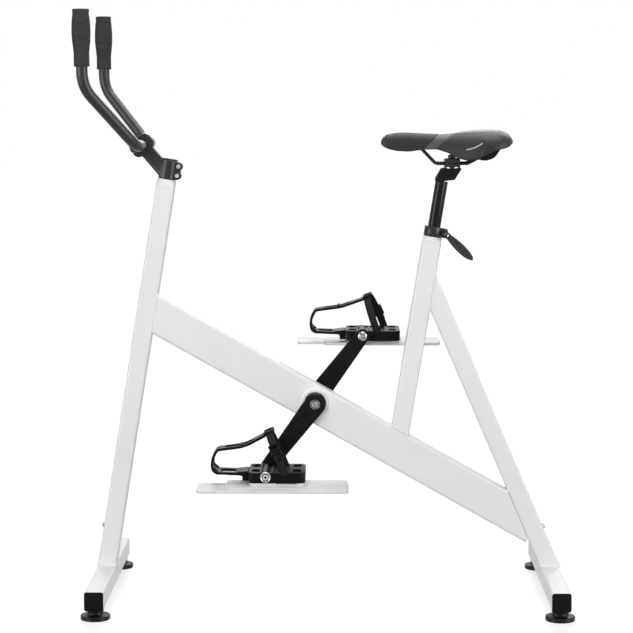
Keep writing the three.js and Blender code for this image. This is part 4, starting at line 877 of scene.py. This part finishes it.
def stem():
    arm_place = at(z=10) @ lean(ARM_LEAN)
    jaw_place = arm_place @ at(z=82)
    sleeve = turned([(18.4, 0), (19, 0.6), (19, 40.4), (18.4, 41)], sides=96)
    arm = slab(31, 32, 9, 78, arm_place @ at(z=39))
    jaw = slab(52, 36, 13, 42, jaw_place @ UPRIGHT, 1.6)
    lobes = [turned([(8.2, -12), (9, -11.2), (9, 11.2), (8.2, 12)], at(21, 0, z) @ UPRIGHT, 64)
             for z in (10.5, 30.5)]
    web = slab(30, 37, 4, 23.6, UPRIGHT, 1.0, x=12, y=20.4)
    body = cut(sleeve, arm, web, *lobes, operation="UNION")
    rear_jaw = copied(jaw)
    for half, middle in ((rear_jaw, 49.2), (jaw, -49.2)):
        cut(half, slab(200, 200, 1, 100, jaw_place @ at(z=middle)))
    cut(body, rear_jaw, operation="UNION")
    bar_bore = turned([(12.4, -50), (12.4, 50)], jaw_place @ UPRIGHT)
    slit = slab(50, 2.4, 0.3, 60, at(z=20), x=34)
    floor_block = slab(200, 200, 1, 100, at(z=-50))
    top_block = turned([(17.9, 41), (17.9, 80)])
    cut(jaw, copied(bar_bore))
    cut(body, bar_bore, slit, floor_block, top_block)
    pockets = [turned([(5.1, 8.4), (5.1, 14)], at(21, 0, z) @ UPRIGHT, 40) for z in (10.5, 30.5)]
    cut(body, *pockets)
    for name, sign in (("lower", -1), ("upper", 1)):
        spot = jaw_place @ at(x=sign * 21)
        cut(jaw, turned([(4.9, 13), (4.9, 22)], spot, 40))
        screw = place(cap_screw(8.6, 4.4, 5, 8, 4), spot @ at(z=13.4))
        finish(place(screw, stem_place), f"{name}_cap_screw", "frame", "steel", f"{name}_cap_bolt")
    round_edges(body, 0.6, 2, 50)
    finish(place(body, stem_place), "stem_clamp", "frame", "anodised", "stem", smooth=40)
    finish(place(jaw, stem_place), "bar_clamp_front", "frame", "anodised", "bar_clamp_cap", smooth=40)
    top = turned([(6, 41.3), (17.5, 41.3), (17.5, 43.2), (17.0, 43.8), (12, 43.9), (11.6, 43.4), (6, 43.4)],
                 stem_place, hollow=True)
    finish(top, "stem_lid", "frame", "moulded", "stem_top_cap")
    for name, z in (("lower", 10.5), ("upper", 30.5)):
        screw = place(cap_screw(9, 4.2, 5, 16, 4.5), stem_place @ at(21, 0, z) @ UPRIGHT @ at(z=8.4))
        finish(screw, f"{name}_pinch_screw", "frame", "steel", f"{name}_pinch_bolt")


def bar_corners(sign):
    return [(-104.5, sign * 204, 277), (-103.5, sign * 200, 124), (0, sign * 130, 0)]


def handlebar():
    left, right = bar_corners(-1), bar_corners(1)
    path = smooth_path(left + right[::-1], (75, 55, 55, 75), 12)
    tube = bent_rod(path, 24, at(*bar_point), resolution=10)
    finish(tube, "bent_bar", "handlebar", "bar_black", "handlebar", smooth=50)
    for side, sign in SIDES.items():
        end, shoulder = Vector(bar_corners(sign)[0]), Vector(bar_corners(sign)[1])
        up = (end - shoulder).normalized()
        spot = at(*bar_point) @ at(*(end - up * 112.7)) @ up.to_track_quat("Z", "Y").to_matrix().to_4x4()
        piece = turned(grip_profile(), spot, 72)
        cut(piece, *grip_seams(spot))
        finish(piece, f"{side}_hand_grip", "handlebar", "grip", f"{side}_grip", smooth=40)


# Seat

def seat_collar():
    band = turned([(16.6, 0.5), (17.1, 0), (19.6, 0), (20.1, 0.6), (20.1, 20.4), (19.6, 21), (17.1, 21),
                   (16.6, 20.5)], hollow=True)
    lug = slab(17, 20.6, 5, 15, UPRIGHT, 1.0, x=22.5, y=10.5)
    cut(lug, turned([(16.6, -5), (16.6, 30)]))
    body = cut(band, lug, operation="UNION")
    slit = slab(40, 2.4, 0.3, 60, x=30)
    hole = turned([(2.9, -20), (2.9, 20)], at(26, 0, 10.5) @ UPRIGHT, 32)
    cut(body, slit, hole)
    finish(place(body, collar_place), "collar_band", "frame", "anodised", "seat_collar", smooth=40)
    line = collar_place @ at(26, 0, 10.5) @ UPRIGHT
    rod = turned([(2.5, -7.9), (2.5, 15)], line, 32)
    nut = turned([(0.01, -13.5), (5.6, -13.5), (6.5, -12.8), (6.5, -8.2), (6.2, -7.8), (0.01, -7.8)],
                 line, 40)
    pin = turned([(2.5, -6.2), (2.5, 6.2)], at(*joint_point("lever_swing")) @ lean(134) @ turn(90, "Y"), 32)
    finish(join(rod, nut, pin), "skewer_rod", "frame", "pin_steel", "collar_skewer")


def release_lever():
    leaf = [(-6, 4), (-6.4, 10), (-8.4, 24), (-9.4, 40), (-9.4, 54), (-7.6, 68), (-4, 78), (0, 81),
            (1.5, 80.4), (6, 72), (8.8, 60), (9.5, 48), (9.2, 34), (8, 22), (6.2, 10), (6, 4)]
    blade = cut_out([spline(leaf, 4, True)], 6, UPRIGHT, 2.0, 4)
    hollow = [(-3, 26), (-5.4, 40), (-5, 58), (0, 70), (4.4, 58), (5.2, 40), (3, 26)]
    groove = cut_out([spline(hollow, 5, True)], 1.6, at(y=-3.2) @ UPRIGHT, 0.5)
    cut(blade, groove)
    barrel = turned([(6.6, -6.2), (7.5, -5.4), (7.5, 5.4), (6.6, 6.2)], turn(90, "Y"))
    slot = slab(6, 40, 0.3, 22, at(z=-3.2))
    pin_hole = turned([(2.85, -10), (2.85, 10)], turn(90, "Y"), 32)
    body = cut(blade, barrel, operation="UNION")
    cut(body, slot, pin_hole)
    finish(place(body, at(*joint_point("lever_swing")) @ lean(134)), "release_leaf", "quick_release",
           "lever_grey", "quick_release_lever", smooth=40)


def seat_post():
    level = seat_top @ at(z=136.5) @ lean(-MAST_LEAN)
    tube = turned([(11.2, -199.6), (13.3, -200), (13.6, -199.6), (13.6, 132)], seat_top, 96)
    head = cut_out([[(-15.6, -2), (-14.8, 3), (-3.5, 22.6), (-1, 24), (38.5, 24), (40.6, 22.4), (40.2, 20),
                     (27, -1), (24.5, -2.2), (13, -3.4), (-10, -6), (-14, -6)]], 30, level @ UPRIGHT, 1.6, 3)
    body = cut(tube, head, operation="UNION")
    dish = turned([(60, -40), (60, 40)], clamp_place @ at(z=48.5) @ UPRIGHT, 160)
    slot = slab(26, 7, 3, 40, clamp_place @ at(z=-5))
    cut(body, dish, slot)
    finish(body, "post_and_head", "seat_post", "tube_black", "seat_post", smooth=40)
    bead = bent_rod(circle(14.2), 2.6, level @ at(-0.3, 0, -3.4) @ lean(-4), True, 3)
    finish(bead, "post_head_weld", "seat_post", "tube_black", smooth=60)


def rail_path():
    half = [(78, 27, 24), (32, 22, 0), (-35.5, 22, 0), (-71, 10, 37), (-84, 10, 39.4)]
    left = [(x, -y, z) for x, y, z in half]
    return smooth_path(left + half[::-1], (12, 12, 12, 8, 8, 12, 12, 12), 8)


def rail_clamp():
    cradle = cut_out([[(-16.5, -8.8), (-12.8, -9.4), (-12.2, -7.4), (-5, -7.4), (-4.2, -10.9), (4.2, -10.9),
                       (5, -7.4), (12.2, -7.4), (12.8, -9.4), (16.5, -8.8), (16.5, -0.3), (-16.5, -0.3)]], 58,
                     UPRIGHT, 0.8)
    plate = slab(33, 10.2, 3, 58, UPRIGHT, 1.2, y=5.4)
    for piece in (cradle, plate):
        cut(piece, bent_rod(rail_path(), 7.6, resolution=4))
    finish(place(cradle, clamp_place), "rail_cradle", "saddle_clamp", "anodised", "clamp_cradle")
    finish(place(plate, clamp_place), "rail_plate", "saddle_clamp", "anodised", "clamp_plate")
    bolt = turned([(3.1, -21.5), (3.1, 10.6), (7.6, 10.8), (8.2, 11.4), (8.2, 17), (7.2, 18.4), (0.01, 18.4)],
                  sides=48)
    cut(bolt, hex_pocket(8, 14, 21))
    finish(place(bolt, clamp_place), "clamp_screw", "saddle_clamp", "anodised", "clamp_bolt")


SADDLE_LONG, SADDLE_MIDDLE, SADDLE_HALF = 279.3, -12.25, 78
SADDLE_LOW, SADDLE_TALL = 7.3, 65.7
SADDLE_ROWS = [
    # along, half width, top, skirt, as shares of the saddle's size
    (0.000, 0.17, 0.62, 0.50), (0.015, 0.25, 0.745, 0.43), (0.05, 0.31, 0.84, 0.36),
    (0.11, 0.33, 0.89, 0.295), (0.20, 0.335, 0.905, 0.27), (0.31, 0.36, 0.885, 0.335),
    (0.42, 0.43, 0.875, 0.35), (0.51, 0.54, 0.885, 0.235), (0.59, 0.68, 0.925, 0.055),
    (0.66, 0.81, 0.965, -0.01), (0.72, 0.91, 0.985, 0.03), (0.78, 0.98, 0.998, 0.17),
    (0.85, 1.0, 1.0, 0.31), (0.90, 0.96, 0.985, 0.36), (0.94, 0.87, 0.93, 0.39),
    (0.97, 0.76, 0.86, 0.44), (0.99, 0.62, 0.76, 0.52), (1.0, 0.5, 0.68, 0.56),
]


def saddle_row(share, inset, top_share):
    """Where a row of the saddle lies: its place along, its half width, its top and its skirt."""
    rows = SADDLE_ROWS
    index = next((k for k in range(1, len(rows)) if rows[k][0] >= share - 1e-9), len(rows) - 1)
    low, high = rows[index - 1], rows[index]
    t = (share - low[0]) / (high[0] - low[0])
    wide, top, skirt = (low[k] + (high[k] - low[k]) * t for k in (1, 2, 3))
    skirt_z = SADDLE_LOW + skirt * SADDLE_TALL
    top_z = skirt_z + (top - skirt) * SADDLE_TALL * top_share
    along = SADDLE_MIDDLE + (share - 0.5) * (SADDLE_LONG - 2 * inset)
    return along, wide * SADDLE_HALF - inset, top_z, skirt_z


def saddle_loft(inset, top_share, rows, steps, drop=0.0):
    """The saddle's form as a grid that is bent over, rows from nose to tail."""
    bpy.ops.object.select_all(action="DESELECT")
    bpy.ops.mesh.primitive_grid_add(x_subdivisions=rows, y_subdivisions=steps, size=2)
    piece = bpy.context.object
    for vertex in piece.data.vertices:
        share = (vertex.co.x + 1) / 2
        share = 0.5 - 0.5 * math.cos(math.pi * share) * (0.35 + 0.65 * abs(math.cos(math.pi * share)) ** 0.2)
        share = min(max(share, 0), 1)
        x, half, top, skirt = saddle_row(share, inset, top_share)
        angle = math.pi * (vertex.co.y + 1) / 2
        wave = math.cos(angle)
        y = -math.copysign(abs(wave) ** 0.8, wave) * half
        z = skirt + abs(math.sin(angle)) ** 0.8 * (top - skirt)
        groove = math.exp(-((share - 0.55) / 0.3) ** 2) * math.exp(-(y / 9) ** 2) * 2.4 if inset == 0 else 0
        vertex.co = (x, y, z - groove - drop)
    return piece


def seam_distance(spot, half):
    """How far a point of the cover is from the nearest sewn line."""
    x, y, z = spot
    lines = [abs(x - z + 91) / 1.41, abs(x - 1.195 * z + 75.2) / 1.56]
    if x > -4:
        lines.append(abs(abs(y) - 0.62 * half + 0.0016 * (x - 52) ** 2))
    if x < -62:
        lines.append(abs(abs(y) - 0.5 * half))
    return min(lines)


def press_seams(cover):
    """Sewn lines pressed into the cover."""
    normals = [vertex.normal.copy() for vertex in cover.data.vertices]
    for vertex, normal in zip(cover.data.vertices, normals):
        if normal.z > -0.2:
            share = (vertex.co.x - SADDLE_MIDDLE) / SADDLE_LONG + 0.5
            half = saddle_row(min(max(share, 0), 1), 0.0, 1.0)[1]
            vertex.co -= normal * 0.9 * math.exp(-(seam_distance(vertex.co, half) / 1.5) ** 2)


def saddle():
    cover = saddle_loft(0.0, 1.0, 92, 60)
    modify(cover, "SOLIDIFY", thickness=3.4, offset=-1)
    modify(cover, "SUBSURF", levels=1, render_levels=1)
    press_seams(cover)
    finish(place(cover, clamp_place), "padded_cover", "saddle", "skin", "saddle_cover", smooth=60)
    tray = saddle_loft(4.3, 0.57, 48, 28)
    modify(tray, "SOLIDIFY", thickness=3.2, offset=-1)
    lobe = [(50, 10.5), (56.6, 8.6), (64.9, 6.9), (74.4, 7.7), (87.9, 13.4), (99.2, 28.3), (104, 37.5),
            (97, 46), (70, 44), (54, 30)]
    housing = cut_out([spline(lobe, 5, True)], 92, UPRIGHT, 7, 5)
    nose_block = slab(39, 30, 5, 14, at(z=39.5), 2, x=-77.5)
    shell = join(join(tray, housing), nose_block)
    finish(place(shell, clamp_place), "glossy_shell", "saddle", "gloss_shell", "saddle_base", smooth=45)
    wire = bent_rod(rail_path(), 7, clamp_place, resolution=6)
    finish(wire, "rail_wire", "saddle", "rail", "saddle_rails", smooth=60)


# Light and ground

def soft_lamp(name, spot, energy, wide, high, only=None):
    """A lamp aimed at the bike's middle; one only for gloss shows on shiny pieces and lights nothing."""
    light = bpy.data.objects.new(name, bpy.data.lights.new(name, "AREA"))
    bpy.context.scene.collection.objects.link(light)
    light.data.shape = "RECTANGLE"
    light.data.energy, light.data.size, light.data.size_y = energy, wide, high
    light.location = spot
    light.rotation_euler = (Vector((0, 0, 0.6)) - Vector(spot)).to_track_quat("-Z", "Y").to_euler()
    light.visible_diffuse = only != "gloss"
    light.visible_glossy = only != "matt"


def seen_directly(nodes, links):
    """1 where a ray comes from the camera, a mirror or glass, and 0 where it lights the object."""
    path = nodes.new("ShaderNodeLightPath")
    total = path.outputs["Is Camera Ray"]
    for name in ("Is Glossy Ray", "Is Transmission Ray"):
        either = nodes.new("ShaderNodeMath")
        either.operation = "MAXIMUM"
        links.new(total, either.inputs[0])
        links.new(path.outputs[name], either.inputs[1])
        total = either.outputs[0]
    return total


def studio():
    scene = bpy.context.scene
    scene.view_settings.view_transform = "Standard"
    world = bpy.data.worlds.new("studio")
    scene.world = world
    world.use_nodes = True
    nodes, links = world.node_tree.nodes, world.node_tree.links
    soft = nodes["Background"]
    soft.inputs["Color"].default_value = (1, 1, 1, 1)
    soft.inputs["Strength"].default_value = 0.2
    white = nodes.new("ShaderNodeBackground")
    white.inputs["Color"].default_value = (1, 1, 1, 1)
    white.inputs["Strength"].default_value = 1.0
    mix = nodes.new("ShaderNodeMixShader")
    links.new(seen_directly(nodes, links), mix.inputs[0])
    links.new(soft.outputs[0], mix.inputs[1])
    links.new(white.outputs[0], mix.inputs[2])
    links.new(mix.outputs[0], nodes["World Output"].inputs["Surface"])
    soft_lamp("front_box", (-0.3, -4.4, 2.0), 136, 2.4, 1.6, "matt")
    soft_lamp("left_gleam", (-3.0, -2.0, 1.2), 105, 1.7, 2.6, "gloss")
    soft_lamp("right_gleam", (3.0, -2.0, 1.2), 140, 1.7, 2.6, "gloss")
    soft_lamp("top_gleam", (0.3, 0.3, 3.4), 80, 2.6, 1.6, "gloss")
    soft_lamp("back_gleam", (0.2, 2.6, 2.4), 90, 3.0, 1.4, "gloss")
    soft_lamp("top_box", (0.05, -0.3, 3.5), 36, 2.0, 2.0)
    soft_lamp("back_box", (0.1, 3.8, 1.9), 52, 2.2, 1.6, "matt")
    bpy.ops.object.select_all(action="DESELECT")
    bpy.ops.mesh.primitive_plane_add(size=60)
    floor = bpy.context.object
    floor.name = "studio_floor"
    paint = Paint("studio_floor", Roughness=0.12)
    seen = Link(paint, seen_directly(paint.tree.nodes, paint.tree.links))
    shine = paint.shade(paint.noise(3), [(0.0, grey(0.93)), (1.0, grey(0.95))])
    paint.feed("Base Color", paint.mix(seen, grey(0.3), shine))
    glow = paint.node("ShaderNodeEmission", {}, {"Color": (1, 1, 1, 1), "Strength": 1.34})
    shares = {0: seen * 0.52, 1: Link(paint, paint.shader.outputs[0]), 2: glow}
    blend = paint.node("ShaderNodeMixShader", {}, shares)
    paint.tree.links.new(blend.socket, paint.tree.nodes["Material Output"].inputs["Surface"])
    floor.data.materials.append(paint.material)


white_frame()
bars_and_feet()
small_bolts()
drive()
pedals()
stem()
handlebar()
seat_collar()
release_lever()
seat_post()
rail_clamp()
saddle()
studio()
